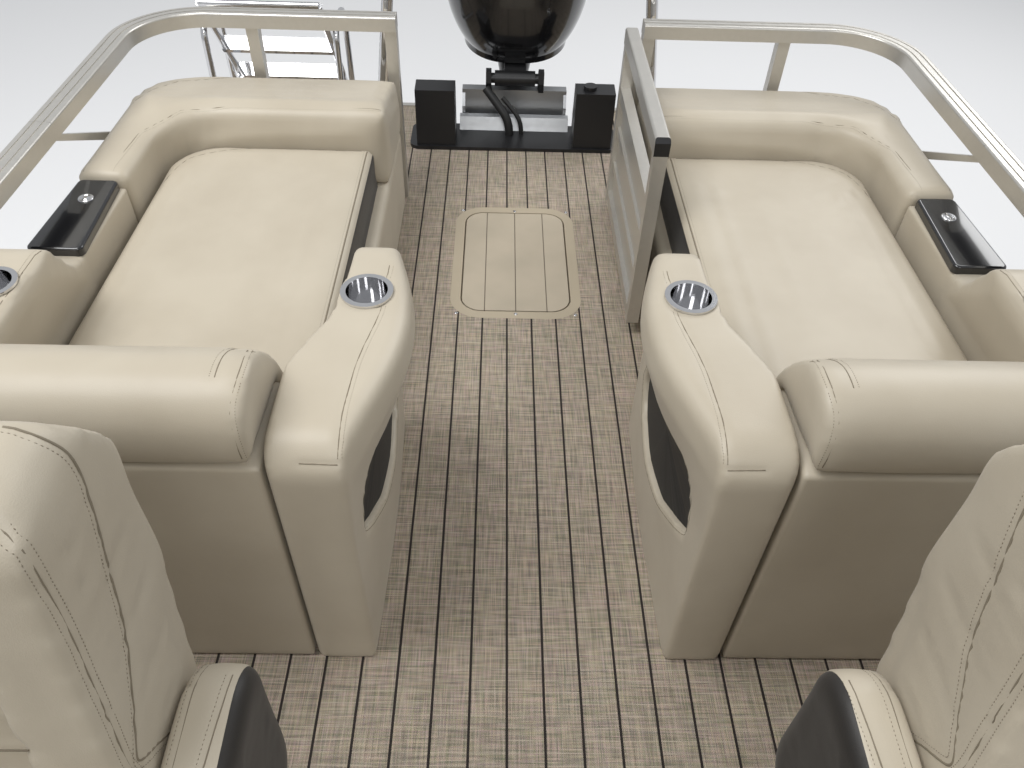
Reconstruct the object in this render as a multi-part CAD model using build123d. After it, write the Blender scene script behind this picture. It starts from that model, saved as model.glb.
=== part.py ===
"""Pontoon boat: three tubes, a flat deck, a railed cockpit with loungers, and an outboard.

Millimetres. +X is forward, +Y is port, +Z is up. The origin is under the centre tube's
keel strip amidships, on the plane that the three keel strips stand on.
"""
from build123d import *
from math import cos, radians, sin
import os

# Deck
deck_length = 6700.0
deck_width = 2590.0
deck_thickness = 32.0
sheet_gap = 0.4
trim_thickness = 6.0
trim_lip = 26.0
trim_lip_height = 4.0
crossmember_height = 88.0
crossmember_width = 50.0
crossmember_wall = 5.0
crossmember_pitch = 406.4

deck_aft_x = -deck_length / 2
deck_fore_x = deck_length / 2
deck_half = deck_width / 2

# Tubes
tube_radius = 317.5
tube_inset = 12.5
tube_stern_gap = 170.0
tube_spacing = deck_half - tube_radius - tube_inset
keel_height = 30.0
keel_width = 40.0
tube_aft_x = deck_aft_x + tube_stern_gap
nose_length = 770.0
nose_overhang = 270.0
nose_tip_x = deck_fore_x + nose_overhang
nose_start_x = nose_tip_x - nose_length
nose_tip_radius = 70.0
nose_rise = 200.0
strake_depth = 45.0
strake_angle = 50.0
riser_gap = 35.0
riser_offset = 75.0
riser_thickness = 8.0

tube_z = keel_height + tube_radius
riser_top_z = tube_z + tube_radius + riser_gap
crossmember_top_z = riser_top_z + crossmember_height
deck_top_z = crossmember_top_z + deck_thickness

# Motor well: a notch in the deck's aft edge, with the transom across its front
well_length = 200.0
well_front_x = deck_aft_x + well_length
well_half = 262.0
transom_thickness = 45.0
transom_height = 150.0
transom_half = 215.0
pod_bottom_z = 330.0

# Black plate and boxes before the motor
splash_length = 200.0
splash_half = 420.0
splash_thickness = 14.0
splash_box_inner_y = 236.0
splash_box_outer_y = 390.0
splash_box_height = 238.0
splash_step_height = 62.0

# Fence
stern_deck_length = 710.0
bow_deck_length = 270.0
fence_inset = 65.0
fence_aft_x = deck_aft_x + stern_deck_length
fence_fore_x = deck_fore_x - bow_deck_length
fence_half = deck_half - fence_inset
fence_aft_radius = 250.0
fence_fore_radius = 450.0
top_rail_width = 60.0
top_rail_height = 45.0
rail_groove_width = 5.0
rail_groove_depth = 2.5
rail_groove_insets = (16.0, 39.0)
rail_edge_round = 7.0
fence_height = 650.0
low_rail_size = 38.0
mid_rail_top = 468.0
panel_thickness = 4.0
panel_gap = 0.4
gateway_half = 395.0
stern_split_x = fence_aft_x + 790.0
stern_post_y = 836.0
front_post_y = 700.0
strut_top_x = stern_split_x - 40.0
strut_foot_x = strut_top_x - 360.0

# Floor hatch and the locker under it
hatch_aft_x = fence_aft_x + 107.0
hatch_length = 629.0
hatch_fore_x = hatch_aft_x + hatch_length
hatch_half = 210.0
hatch_radius = 100.0
hatch_ring_width = 33.0
hatch_gap = 5.0
hatch_lid_thickness = 18.0
locker_depth = 340.0
locker_wall = 5.0

# Gates
gate_thickness = 40.0
gate_top_height = 48.0
gate_floor_gap = 50.0
gate_hinge_gap = 20.0
gate_hinge_radius = 9.0
gate_latch_gap = 40.0
gate_corner = 12.0
hinge_heights = (130.0, 520.0)
lug_offset = 33.0
lug_height = 12.0
gate_sheet = 3.0

# Ski tow bar
tow_tube_radius = 19.0
tow_foot_x = fence_aft_x - 105.0
tow_foot_y = 520.0
tow_top_x = fence_aft_x - 60.0
tow_top_y = 372.0
tow_height = 1120.0
tow_bend = 120.0

# Boarding ladder
ladder_centre_y = 360.0 - deck_half
ladder_half = 215.0
ladder_tube_radius = 12.5
ladder_pivot_x = deck_aft_x - 45.0
ladder_pivot_height = 24.0
ladder_pin_radius = 7.0
ladder_eye_radius = 18.0
ladder_length = 640.0
ladder_lean = 38.0
ladder_tread_depth = 60.0
ladder_tread_thickness = 22.0
ladder_tread_count = 3
grab_gap = 34.0
grab_height = 430.0
grab_fore_x = deck_aft_x + 300.0
grab_aft_x = deck_aft_x + 42.0
grab_bend = 70.0

# Mooring cleats
cleat_end_gap = 150.0
cleat_side_gap = 52.0
cleat_length = 180.0

# Rear loungers, measured from the photograph's port and starboard pair
seat_gap = 5.0
seat_outer_y = fence_half - top_rail_width - seat_gap
lounger_aft_x = fence_aft_x + top_rail_width + 15.0
lounger_length = 1785.0
lounger_front_x = lounger_aft_x + lounger_length
side_gate_aft_x = lounger_front_x + 1020.0
side_gate_width = 680.0
side_gate_fore_x = side_gate_aft_x + side_gate_width
bow_split_x = side_gate_fore_x + 120.0
lounger_aisle_y = 400.0
lounger_base_height = 285.0
mattress_length = 1130.0
mattress_aft_x = lounger_aft_x + 370.0
mattress_fore_x = mattress_aft_x + mattress_length
mattress_top = 420.0
mattress_aisle_y = 432.0
side_seat_width = 145.0
mattress_outer_y = seat_outer_y - side_seat_width
mattress_round = 28.0
front_panel_height = 630.0
bolster_top = 768.0
bolster_depth = 275.0
bolster_aft_x = lounger_front_x - bolster_depth
backrest_front_height = 520.0
backrest_aft_height = 450.0
backrest_side_y = mattress_outer_y + 15.0
backrest_bend = 150.0
backrest_round = 26.0
backrest_side_length = 353.0
backrest_side_fore_x = mattress_aft_x + backrest_side_length
tray_length = 308.0
tray_aft_x = backrest_side_fore_x + 4.0
tray_fore_x = tray_aft_x + tray_length
tray_top = 500.0
tray_thickness = 22.0
tray_corner = 16.0
tray_edge_round = 7.0
side_arm_top = 630.0
side_arm_inner_y = mattress_outer_y + 8.0
side_arm_flare = 43.0
side_arm_round = 34.0

# Aisle arms beside the walkway
arm_inner_y = 305.0
arm_outer_y = 431.0
arm_waist_height = 430.0
arm_flare_height = 590.0
arm_top = 660.0
arm_foot_length = 682.0
arm_foot_x = lounger_front_x - arm_foot_length
arm_front_round = 72.0
arm_nose_round = 46.0
arm_edge_round = 34.0
recess_depth = 95.0

# Cup holders
cup_x = lounger_front_x - 410.0
cup_y = 310.0
side_cup_x = lounger_front_x - 450.0
side_cup_y = mattress_outer_y + 28.0
cup_flange_radius = 50.5
cup_bore_radius = 40.0
cup_wall = 2.0
cup_depth = 78.0
cup_flange = 5.0

# Captain's chairs
chair_x = lounger_front_x + 610.0
chair_y = 640.0
chair_foot_radius = 165.0
chair_post_radius = 42.0
chair_post_height = 300.0
chair_seat_bottom = 325.0
chair_seat_top = 480.0
chair_seat_half = 212.0
chair_seat_fore = 290.0
chair_seat_aft = -215.0
chair_arm_width = 76.0
chair_arm_top = 705.0
chair_arm_bottom = 350.0
chair_arm_aft = -285.0
chair_arm_fore = 190.0
chair_back_half = 204.0
chair_back_top = 1120.0
chair_back_foot = 400.0
chair_back_aft = -336.0
chair_back_fore = -55.0
chair_back_recess = 42.0
chair_shoulder = 62.0

# Helm
console_aft_x = chair_x + 600.0
console_length = 515.0
console_fore_x = console_aft_x + console_length
console_aisle_y = -400.0
console_top = 880.0
console_dash_low = 700.0
console_dash_depth = 150.0
console_knee_height = 600.0
console_shin_height = 420.0
console_toe = 90.0
console_toe_depth = 110.0
console_shoulder_length = 160.0
console_shoulder_height = 760.0
console_front_height = 430.0
screen_height = 230.0
screen_thickness = 6.0
screen_inset = 30.0
screen_set_back = 190.0
screen_round = 90.0
wheel_y = -620.0
wheel_radius = 180.0
wheel_rim_radius = 14.0
wheel_tilt = 30.0
wheel_stand_off = 105.0
wheel_hub_radius = 38.0
wheel_hub_length = 50.0
throttle_y = 195.0 - seat_outer_y
throttle_width = 80.0
throttle_height = 55.0
lever_length = 125.0

# Bow lounges
bow_arm_aft_x = side_gate_fore_x + 40.0
bow_arm_width = 150.0
bow_seat_aft_x = bow_arm_aft_x + bow_arm_width
bow_seat_fore_x = fence_fore_x - top_rail_width - 10.0
bow_seat_inner_y = 560.0
bow_base_height = 300.0
bow_cushion_top = 425.0
bow_back_width = 135.0
bow_back_inner_y = seat_outer_y - bow_back_width
bow_back_height = 620.0

# Outboard, drawn upright about its tilt tube and then tilted up to its parked angle
tilt_x = tube_aft_x
tilt_height = 200.0
park_tilt = 12.0
tilt_tube_radius = 20.0
swivel_barrel_radius = 30.0
swivel_half = 82.0
swivel_top = 28.0
swivel_foot = -330.0
steering_tube_radius = 34.0
clamp_half = 118.0
clamp_plate = 22.0
steer_back = 150.0
pan_thickness = 26.0
cowl_foot = 64.0
cowl_top = 610.0
cowl_length = 690.0
cowl_width = 580.0
cowl_wall = 7.0
plate_drop = 668.0
propeller_drop = 870.0
skeg_drop = 1075.0
propeller_radius = 170.0
propeller_back = 480.0
running_gap = 0.3

axis_z = deck_top_z + tilt_height


def above(height):
    """Height over the deck, as a height in the part's frame."""
    return deck_top_z + height


def block(low, high):
    """A box between two opposite corners, in either order."""
    size = [abs(b - a) for a, b in zip(low, high)]
    middle = [(a + b) / 2 for a, b in zip(low, high)]
    return Pos(*middle) * Box(*size)


def prism(plane, points, near, far):
    """A straight prism on a polygon, from one distance along the plane's normal to another."""
    face = make_face(Polyline(*points, close=True))
    return extrude(plane.offset(near) * face, far - near)


def side_prism(points, y_low, y_high):
    """A prism across the boat on a profile of (x, z) points."""
    return prism(Plane.XZ, points, -y_high, -y_low)


def plan_prism(points, z_low, z_high):
    """An upright prism on an outline of (x, y) points."""
    return prism(Plane.XY, points, z_low, z_high)


def rounded(points, radii):
    """A polygon's face with its own rounding at each corner, 0 for a sharp one."""
    face = make_face(Polyline(*points, close=True))
    for (u, v), radius in zip(points, radii):
        if radius:
            corner = face.vertices().sort_by_distance((u, v, 0))[0]
            face = fillet(corner, radius)
    return face


def side_cut(face, y_low, y_high):
    """A prism across the boat on a face drawn in (x, z)."""
    return extrude(Plane.XZ.offset(-y_high) * face, y_high - y_low)


def starboard_of(solid):
    """The mirror image on the other side of the centreline."""
    return mirror(solid, about=Plane.XZ)


def tube_along(points, radius, bend):
    """A round bar that follows straight runs joined by arcs."""
    path = FilletPolyline(*points, radius=bend)
    start = Plane(origin=path @ 0, z_dir=path % 0)
    return sweep(start * Circle(radius), path=path)


def rod(start, end, radius):
    """A round bar between two points."""
    path = Line(start, end)
    return sweep(Plane(origin=start, z_dir=path % 0) * Circle(radius), path=path)


def save(name, *shapes):
    """Write one node's solids to its file."""
    solids = [solid for shape in shapes for solid in shape.solids()]
    export_step(Compound(children=solids), f"parts/{name}.step")


def pontoon(y):
    """One tube with its raised nose, keel strip, lifting strakes and deck riser."""
    at_y = Pos(0, y, 0)
    tube = Pos(tube_aft_x, 0, tube_z) * extrude(Plane.YZ * Circle(tube_radius), nose_start_x - tube_aft_x)
    nose_foot = Plane.YZ.offset(nose_start_x) * Pos(0, tube_z) * Circle(tube_radius)
    nose_tip = Plane.YZ.offset(nose_tip_x) * Pos(0, tube_z + nose_rise) * Circle(nose_tip_radius)
    nose = loft([nose_foot, nose_tip], ruled=True)
    keel = block((tube_aft_x + 60, -keel_width / 2, 0), (nose_start_x, keel_width / 2, keel_height + 25))
    body = tube + nose + keel
    for side in (-1, 1):
        low = radians(strake_angle)
        foot = (side * tube_radius * sin(low), tube_z - tube_radius * cos(low))
        points = [
            (foot[0] * 0.86, foot[1] + 4),
            (foot[0] + side * strake_depth, foot[1] - 6),
            (foot[0] * 0.98, foot[1] + strake_depth),
        ]
        strake = prism(Plane.YZ, points, tube_aft_x + 250, nose_start_x - 50)
        riser = block(
            (tube_aft_x + 40, side * riser_offset - riser_thickness / 2, tube_z + tube_radius - 30),
            (nose_start_x + 60, side * riser_offset + riser_thickness / 2, riser_top_z),
        )
        body = body + strake + riser
    return at_y * body


def floor_locker_outline(grow, z_low, z_high):
    """A box over the hatch's opening, grown by an amount on each side."""
    middle = (hatch_aft_x + hatch_fore_x) / 2
    length = hatch_fore_x - hatch_aft_x + 2 * grow
    width = 2 * (hatch_half + grow)
    sketch = Pos(middle, 0) * RectangleRounded(length, width, hatch_radius + grow)
    return extrude(Plane.XY.offset(z_low) * sketch, z_high - z_low)


locker_inset = -hatch_ring_width - 2.0
locker_top_z = deck_top_z - hatch_lid_thickness - 4.0


def floor_locker():
    """The open tub under the hatch, let into the top of the centre tube."""
    shell = floor_locker_outline(locker_inset, locker_top_z - locker_depth, locker_top_z)
    inside = floor_locker_outline(locker_inset - locker_wall, locker_top_z - locker_depth + locker_wall,
                                  locker_top_z + 1)
    return shell - inside


def hatch_ring():
    """The flush frame round the lid, with a rebate that carries it."""
    frame = floor_locker_outline(-running_gap, deck_top_z - hatch_lid_thickness - 4, deck_top_z)
    rebate = floor_locker_outline(-hatch_ring_width, deck_top_z - hatch_lid_thickness, deck_top_z + 1)
    return frame - rebate - floor_locker_outline(locker_inset - 4, 0, deck_top_z + 1)


def hatch_lid():
    """The flush lid."""
    return floor_locker_outline(-hatch_ring_width - hatch_gap,
                                deck_top_z - hatch_lid_thickness + running_gap, deck_top_z)


def crossmembers():
    """Channels under the deck, halved where the floor locker hangs."""
    aft = deck_aft_x + 130
    count = int((deck_length - 260 - crossmember_width) // crossmember_pitch) + 1
    bars = []
    for index in range(count):
        x = aft + index * crossmember_pitch
        outer = block((x, -deck_half + 12, riser_top_z),
                      (x + crossmember_width, deck_half - 12, crossmember_top_z))
        inner = block((x + crossmember_wall, -deck_half, riser_top_z - 1),
                      (x + crossmember_width - crossmember_wall, deck_half,
                       crossmember_top_z - crossmember_wall))
        bar = outer - inner
        if x < well_front_x + 60:
            bar = bar - block((x - 1, -well_half - 8, 0),
                              (x + 2 * crossmember_width, well_half + 8, deck_top_z))
        elif hatch_aft_x - 60 < x < hatch_fore_x + 10:
            bar = bar - block((x - 1, -hatch_half - 10, 0),
                              (x + 2 * crossmember_width, hatch_half + 10, deck_top_z))
        bars.append(bar)
    return bars


def deck():
    """The floor's sheets: two beside the motor well, and three across the boat."""
    edge = deck_half - trim_thickness
    hatch_margin = 12.0
    spans = (
        (well_front_x, hatch_aft_x - hatch_margin),
        (hatch_aft_x - hatch_margin, hatch_fore_x + hatch_margin),
        (hatch_fore_x + hatch_margin, deck_fore_x - trim_thickness),
    )
    sheets = [block((aft + sheet_gap / 2, -edge, crossmember_top_z), (fore - sheet_gap / 2, edge, deck_top_z))
              for aft, fore in spans]
    rebate = floor_locker_outline(0, deck_top_z - hatch_lid_thickness - 4, deck_top_z + 1)
    hole = floor_locker_outline(locker_inset + 0.5, crossmember_top_z - 1, deck_top_z + 1)
    sheets[1] = sheets[1] - rebate - hole
    for side in (-1, 1):
        sheets.append(block((deck_aft_x + trim_thickness, side * well_half, crossmember_top_z),
                            (well_front_x - sheet_gap / 2, side * edge, deck_top_z)))
    return sheets


def deck_edge_trim():
    """Four lengths of edge channel with a lip over the floor."""
    low = crossmember_top_z - crossmember_height + 8
    high = deck_top_z + trim_lip_height
    bars = []
    for side in (-1, 1):
        web = block((deck_aft_x, side * deck_half, low),
                    (deck_fore_x, side * (deck_half - trim_thickness), high))
        lip = block((deck_aft_x, side * (deck_half - trim_thickness), deck_top_z),
                    (deck_fore_x, side * (deck_half - trim_lip), high))
        bars.append(web + lip)
    end_half = deck_half - trim_lip - 0.5
    fore_web = block((deck_fore_x - trim_thickness, -end_half, low), (deck_fore_x, end_half, high))
    fore_lip = block((deck_fore_x - trim_lip, -end_half, deck_top_z), (deck_fore_x, end_half, high))
    bars.append(fore_web + fore_lip)
    for side in (-1, 1):
        near = side * (well_half + 1)
        web = block((deck_aft_x, near, low), (deck_aft_x + trim_thickness, side * end_half, high))
        lip = block((deck_aft_x, near, deck_top_z), (deck_aft_x + trim_lip, side * end_half, high))
        bars.append(web + lip)
    return bars


def motor_pod():
    """The welded box behind the centre tube that carries the transom plate."""
    transom_aft = tilt_x - transom_thickness
    top = above(transom_height)
    plate = block((transom_aft, -transom_half, pod_bottom_z), (tilt_x, transom_half, top))
    knees = []
    for side in (-1, 1):
        span = sorted((side * transom_half, side * (transom_half - 12)))
        knees.append(side_prism([(tilt_x, above(-20)), (tilt_x, above(transom_height - 15)),
                                 (well_front_x - 1, above(transom_height - 60)),
                                 (well_front_x - 1, above(-20))], *span))
    return plate + knees[0] + knees[1]


def splash_well():
    """The black moulded plate in front of the transom, with a stepped middle and two tall boxes."""
    front = well_front_x + splash_length
    plate = Pos((front + well_front_x) / 2, 0) * RectangleRounded(splash_length, 2 * splash_half, 40)
    body = extrude(Plane.XY.offset(deck_top_z) * plate, splash_thickness)
    step = side_prism([(well_front_x + 2, above(splash_thickness - 2)),
                       (well_front_x + 2, above(splash_step_height)),
                       (well_front_x + splash_length * 0.16, above(splash_step_height)),
                       (well_front_x + splash_length * 0.24, above(splash_step_height * 0.45)),
                       (well_front_x + splash_length * 0.28, above(splash_thickness - 2))],
                      -splash_box_inner_y + 12, splash_box_inner_y - 12)
    body = body + step
    top = splash_box_height
    for side in (-1, 1):
        span = sorted((side * splash_box_inner_y, side * splash_box_outer_y))
        box = side_prism([(front - 12, above(splash_thickness - 4)), (front - 24, above(top - 3)),
                          (front - 112, above(top + 3)), (front - 128, above(splash_thickness - 4))], *span)
        box = fillet(box.edges().group_by(Axis.Z)[-1], 6)
        body = body + box
    cap_y = (splash_box_inner_y + splash_box_outer_y) / 2 - 20
    return body + Pos(front - 68, cap_y, above(top + 5)) * Cylinder(26, 16)


def fence_ring(inset, width, z_low, z_high):
    """A closed strip that follows the fence's outline, inset from its outer line."""
    def outline(offset):
        length = fence_fore_x - fence_aft_x - 2 * offset
        middle = (fence_fore_x + fence_aft_x) / 2
        sketch = Pos(middle, 0) * Rectangle(length, 2 * (fence_half - offset))
        corners = sketch.vertices()
        aft = corners.sort_by(Axis.X)[0:2]
        sketch = fillet(aft, fence_aft_radius - offset)
        fore = sketch.vertices().group_by(Axis.X)[-1]
        return fillet(fore, fence_fore_radius - offset)
    ring = outline(inset) - outline(inset + width)
    return extrude(Plane.XY.offset(z_low) * ring, z_high - z_low)


def section(ring, x_low, x_high, y_low, y_high):
    """The part of a fence strip inside a plan box."""
    return ring & block((x_low, y_low, 0), (x_high, y_high, above(fence_height + 50)))


low_inset = (top_rail_width - low_rail_size) / 2
post_z = (above(low_rail_size - 1), above(fence_height - top_rail_height + 1))


def fence_strips():
    """The top, middle and bottom rails and the panel skin, each as a whole ring."""
    top_z = above(fence_height)
    top = fence_ring(0, top_rail_width, top_z - top_rail_height, top_z)
    top = fillet(top.edges().group_by(Axis.Z)[-1], rail_edge_round)
    for inset in rail_groove_insets:
        top = top - fence_ring(inset, rail_groove_width, top_z - rail_groove_depth, top_z + 1)
    middle = fence_ring(low_inset, low_rail_size, above(mid_rail_top - low_rail_size), above(mid_rail_top))
    low = fence_ring(low_inset, low_rail_size, above(0), above(low_rail_size))
    skin_inset = low_inset - panel_gap - panel_thickness
    skin = fence_ring(skin_inset, panel_thickness, above(6), above(mid_rail_top + 4))
    return top, middle, low, skin


def stern_section(strips):
    """Port stern rails: from the gateway, round the corner, to the lounger's front."""
    span = (fence_aft_x - 1, stern_split_x, gateway_half, fence_half + 1)
    frame = section(strips[0], *span) + section(strips[1], *span) + section(strips[2], *span)
    line_x = fence_aft_x + low_inset
    line_y = fence_half - low_inset - low_rail_size
    posts = [(line_x, gateway_half), (line_x, stern_post_y)]
    for x, y in posts:
        frame = frame + block((x, y, post_z[0]), (x + low_rail_size, y + low_rail_size, post_z[1]))
    frame = frame + block((stern_split_x - low_rail_size, line_y, post_z[0]),
                          (stern_split_x, line_y + low_rail_size, post_z[1]))
    foot_z = above(mid_rail_top - 6)
    strut = side_prism([(strut_top_x, post_z[1]), (strut_top_x - 34, post_z[1]), (strut_foot_x - 34, foot_z),
                        (strut_foot_x, foot_z)], line_y + 2, line_y + low_rail_size - 2)
    return frame + strut


def side_section(strips, x_low, x_high, post_xs):
    """Port side rails between two places, with posts."""
    span = (x_low, x_high, gateway_half, fence_half + 1)
    frame = section(strips[0], *span) + section(strips[1], *span) + section(strips[2], *span)
    line_y = fence_half - low_inset - low_rail_size
    for x in post_xs:
        frame = frame + block((x, line_y, post_z[0]), (x + low_rail_size, line_y + low_rail_size, post_z[1]))
    return frame


def bow_section(strips, x_low):
    """Port bow rails, round the forward corner to the bow gateway."""
    span = (x_low, fence_fore_x + 1, gateway_half, fence_half + 1)
    frame = section(strips[0], *span) + section(strips[1], *span) + section(strips[2], *span)
    line_y = fence_half - low_inset - low_rail_size
    line_x = fence_fore_x - low_inset - low_rail_size
    for x, y in ((x_low, line_y), (fence_fore_x - 1380, line_y), (fence_fore_x - 630, line_y),
                 (line_x, front_post_y), (line_x, gateway_half)):
        frame = frame + block((x, y, post_z[0]), (x + low_rail_size, y + low_rail_size, post_z[1]))
    return frame


def gate(length):
    """A gate along +X from its hinge at the origin, hung 35 mm to the -Y side of the pin."""
    centre = -35.0
    low = centre - gate_thickness / 2
    high = centre + gate_thickness / 2
    stile = 32.0
    bar = block((gate_hinge_gap, low, above(fence_height - gate_top_height)),
                (length, high, above(fence_height)))
    bar = chamfer(bar.edges().filter_by(Axis.Y).group_by(Axis.Z)[-1].sort_by(Axis.X)[-1], gate_corner)
    body = fillet(bar.edges().filter_by(Axis.X).group_by(Axis.Z)[-1], rail_edge_round)
    for z in (gate_floor_gap, mid_rail_top - low_rail_size):
        body = body + block((gate_hinge_gap, low + 4, above(z)), (length, high - 4, above(z + low_rail_size)))
    for x in (gate_hinge_gap, length - stile):
        body = body + block((x, low + 2, above(gate_floor_gap)),
                            (x + stile, high - 2, above(fence_height - gate_corner - 6)))
    body = body + block((gate_hinge_gap + 5, centre - gate_sheet / 2, above(gate_floor_gap + 5)),
                        (length - 5, centre + gate_sheet / 2, above(mid_rail_top - 5)))
    for z in (180.0, 310.0):
        body = body + block((gate_hinge_gap + 5, low + 10, above(z)), (length - 5, high - 10, above(z + 22)))
    for z in hinge_heights:
        knuckle = Pos(0, 0, above(z)) * Cylinder(gate_hinge_radius, 2 * (lug_offset - running_gap))
        leaf = block((0, -20, above(z - 30)), (gate_hinge_gap + 6, -11, above(z + 30)))
        leaf = leaf + block((-3, -16, above(z - 30)), (3, 0, above(z + 30)))
        body = body + knuckle + leaf
    return body


def hinge_pads(x, y, toward_x, toward_y):
    """Post-side hinge lugs, above and below each gate knuckle."""
    pads = []
    for z in hinge_heights:
        for drop in (-lug_offset - lug_height, lug_offset):
            lug = Pos(x, y, above(z + drop + lug_height / 2)) * Cylinder(gate_hinge_radius, lug_height)
            low = (min(x, x + toward_x) - 4, min(y, y + toward_y) - 4, above(z + drop))
            high = (max(x, x + toward_x) + 4, max(y, y + toward_y) + 4, above(z + drop + lug_height))
            pads.append(lug + block(low, high))
    return pads


hinge_y = gateway_half - 10.0
stern_hinge_x = fence_aft_x + top_rail_width / 2 + 35.0
bow_hinge_x = fence_fore_x - top_rail_width / 2 - 35.0
gate_length = hinge_y + gateway_half - gate_latch_gap
side_hinge_x = side_gate_fore_x - 10.0
side_hinge_y = fence_half - top_rail_width / 2 - 35.0
side_gate_length = side_hinge_x - side_gate_aft_x - 25.0


def tow_bar():
    """The bent hoop aft of the gateway, with a towing eye."""
    top = above(tow_height)
    points = [
        (tow_foot_x, -tow_foot_y, above(0)),
        (tow_top_x, -tow_top_y, top),
        (tow_top_x, tow_top_y, top),
        (tow_foot_x, tow_foot_y, above(0)),
    ]
    hoop = tube_along(points, tow_tube_radius, tow_bend)
    for side in (-1, 1):
        foot = Pos(tow_foot_x, side * tow_foot_y, above(5)) * Box(110, 90, 10)
        hoop = hoop + foot
    pin = Pos(tow_top_x, 0, top + 42) * Cylinder(12, 84)
    cap = Pos(tow_top_x, 0, top + 80) * Cylinder(22, 10)
    hoop = hoop + pin + cap
    return hoop - block((-9000, -9000, 0), (9000, 9000, above(0)))


def ladder_grab_rails():
    """Two fixed hoops on the aft deck, each with an ear that carries the ladder's pin."""
    pin_length = 2 * (ladder_half + grab_gap)
    body = Pos(ladder_pivot_x, ladder_centre_y, above(ladder_pivot_height)) * Rot(90, 0, 0) \
        * Cylinder(ladder_pin_radius, pin_length)
    for side in (-1, 1):
        y = ladder_centre_y + side * (ladder_half + grab_gap)
        points = [
            (grab_fore_x, y, above(0)),
            (grab_fore_x - 25, y, above(grab_height)),
            (grab_aft_x + 20, y, above(grab_height)),
            (grab_aft_x, y, above(0)),
        ]
        hoop = tube_along(points, ladder_tube_radius, grab_bend)
        hoop = hoop - block((-9000, -9000, 0), (9000, 9000, above(0)))
        base = block((grab_aft_x - 14, y - 16, above(0)), (grab_fore_x + 30, y + 16, above(8)))
        ear = block((ladder_pivot_x - 16, y - 5, above(trim_lip_height + 2)), (grab_aft_x, y + 5, above(42)))
        body = body + hoop + base + ear
    return body


def boarding_ladder():
    """The folding ladder: two rails on the pivot and treads between, leaning over the deck."""
    lean = radians(ladder_lean)
    pivot = Vector(ladder_pivot_x, ladder_centre_y, above(ladder_pivot_height))
    along = Vector(sin(lean), 0, cos(lean))
    body = None
    for side in (-1, 1):
        start = pivot + Vector(0, side * ladder_half, 0)
        rail = rod(start, start + along * ladder_length, ladder_tube_radius)
        eye = Pos(*start) * Rot(90, 0, 0) * Cylinder(ladder_eye_radius, 2 * ladder_tube_radius)
        rail = rail + eye
        body = rail if body is None else body + rail
    for index in range(ladder_tread_count):
        place = pivot + along * (170 + index * 200)
        tread = Box(ladder_tread_depth, 2 * ladder_half, ladder_tread_thickness)
        body = body + Pos(*place) * Rot(0, ladder_lean, 0) * tread
    top_start = pivot + along * ladder_length
    reach = Vector(0, ladder_half, 0)
    body = body + rod(top_start - reach, top_start + reach, ladder_tube_radius)
    bore = Pos(*pivot) * Rot(90, 0, 0) * Cylinder(ladder_pin_radius + running_gap, 3 * ladder_half)
    return body - bore


def lounger_base():
    """The port lounger's base with its tall front panel."""
    foot_x = arm_foot_x - 4
    side_y = arm_outer_y + 3
    front_x = lounger_front_x - 4
    low = plan_prism([(lounger_aft_x, lounger_aisle_y), (foot_x, lounger_aisle_y), (foot_x, side_y),
                      (front_x, side_y), (front_x, seat_outer_y), (lounger_aft_x, seat_outer_y)],
                     above(0), above(lounger_base_height))
    corner = [e for e in low.edges().filter_by(Axis.Z)
              if e.center().X < lounger_aft_x + 1 and e.center().Y > seat_outer_y - 1]
    low = fillet(corner, fence_aft_radius - top_rail_width - seat_gap)
    front = block((bolster_aft_x + 70, side_y, above(lounger_base_height - 1)),
                  (front_x, seat_outer_y, above(front_panel_height)))
    return low + front


def mattress():
    """The port lounger's mattress."""
    pad = block((mattress_aft_x, mattress_aisle_y, above(lounger_base_height)),
                (mattress_fore_x, mattress_outer_y, above(mattress_top)))
    corner = [e for e in pad.edges().filter_by(Axis.Z)
              if e.center().X < mattress_aft_x + 1 and e.center().Y > mattress_outer_y - 1]
    pad = fillet(corner, backrest_bend)
    return fillet(pad.edges().group_by(Axis.Z)[-1], mattress_round)


def stern_backrest():
    """The port lounger's L-shaped backrest, wrapped round the aft corner."""
    inner = backrest_side_y
    front_x = mattress_aft_x - 4
    points = [(lounger_aft_x, lounger_aisle_y), (front_x, lounger_aisle_y), (front_x, inner),
              (backrest_side_fore_x, inner), (backrest_side_fore_x, seat_outer_y),
              (lounger_aft_x, seat_outer_y)]
    body = plan_prism(points, above(lounger_base_height), above(backrest_front_height))
    corner = [e for e in body.edges().filter_by(Axis.Z)
              if e.center().X < lounger_aft_x + 1 and e.center().Y > seat_outer_y - 1]
    body = fillet(corner, fence_aft_radius - top_rail_width - seat_gap)
    bend = [e for e in body.edges().filter_by(Axis.Z)
            if abs(e.center().X - front_x) < 1 and abs(e.center().Y - inner) < 1]
    body = fillet(bend, backrest_bend)
    high = above(backrest_front_height + 1)
    clear = above(backrest_front_height + 80)
    slope = side_prism([(lounger_aft_x - 50, above(backrest_aft_height)), (front_x - 56, high),
                        (front_x - 56, clear), (lounger_aft_x - 50, clear)], 0, deck_half)
    body = body - slope
    rim = [e for e in body.edges() if e.center().Z > above(backrest_front_height - 0.5)
           and e.center().X > front_x - 10]
    return fillet(rim, backrest_round)


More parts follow.
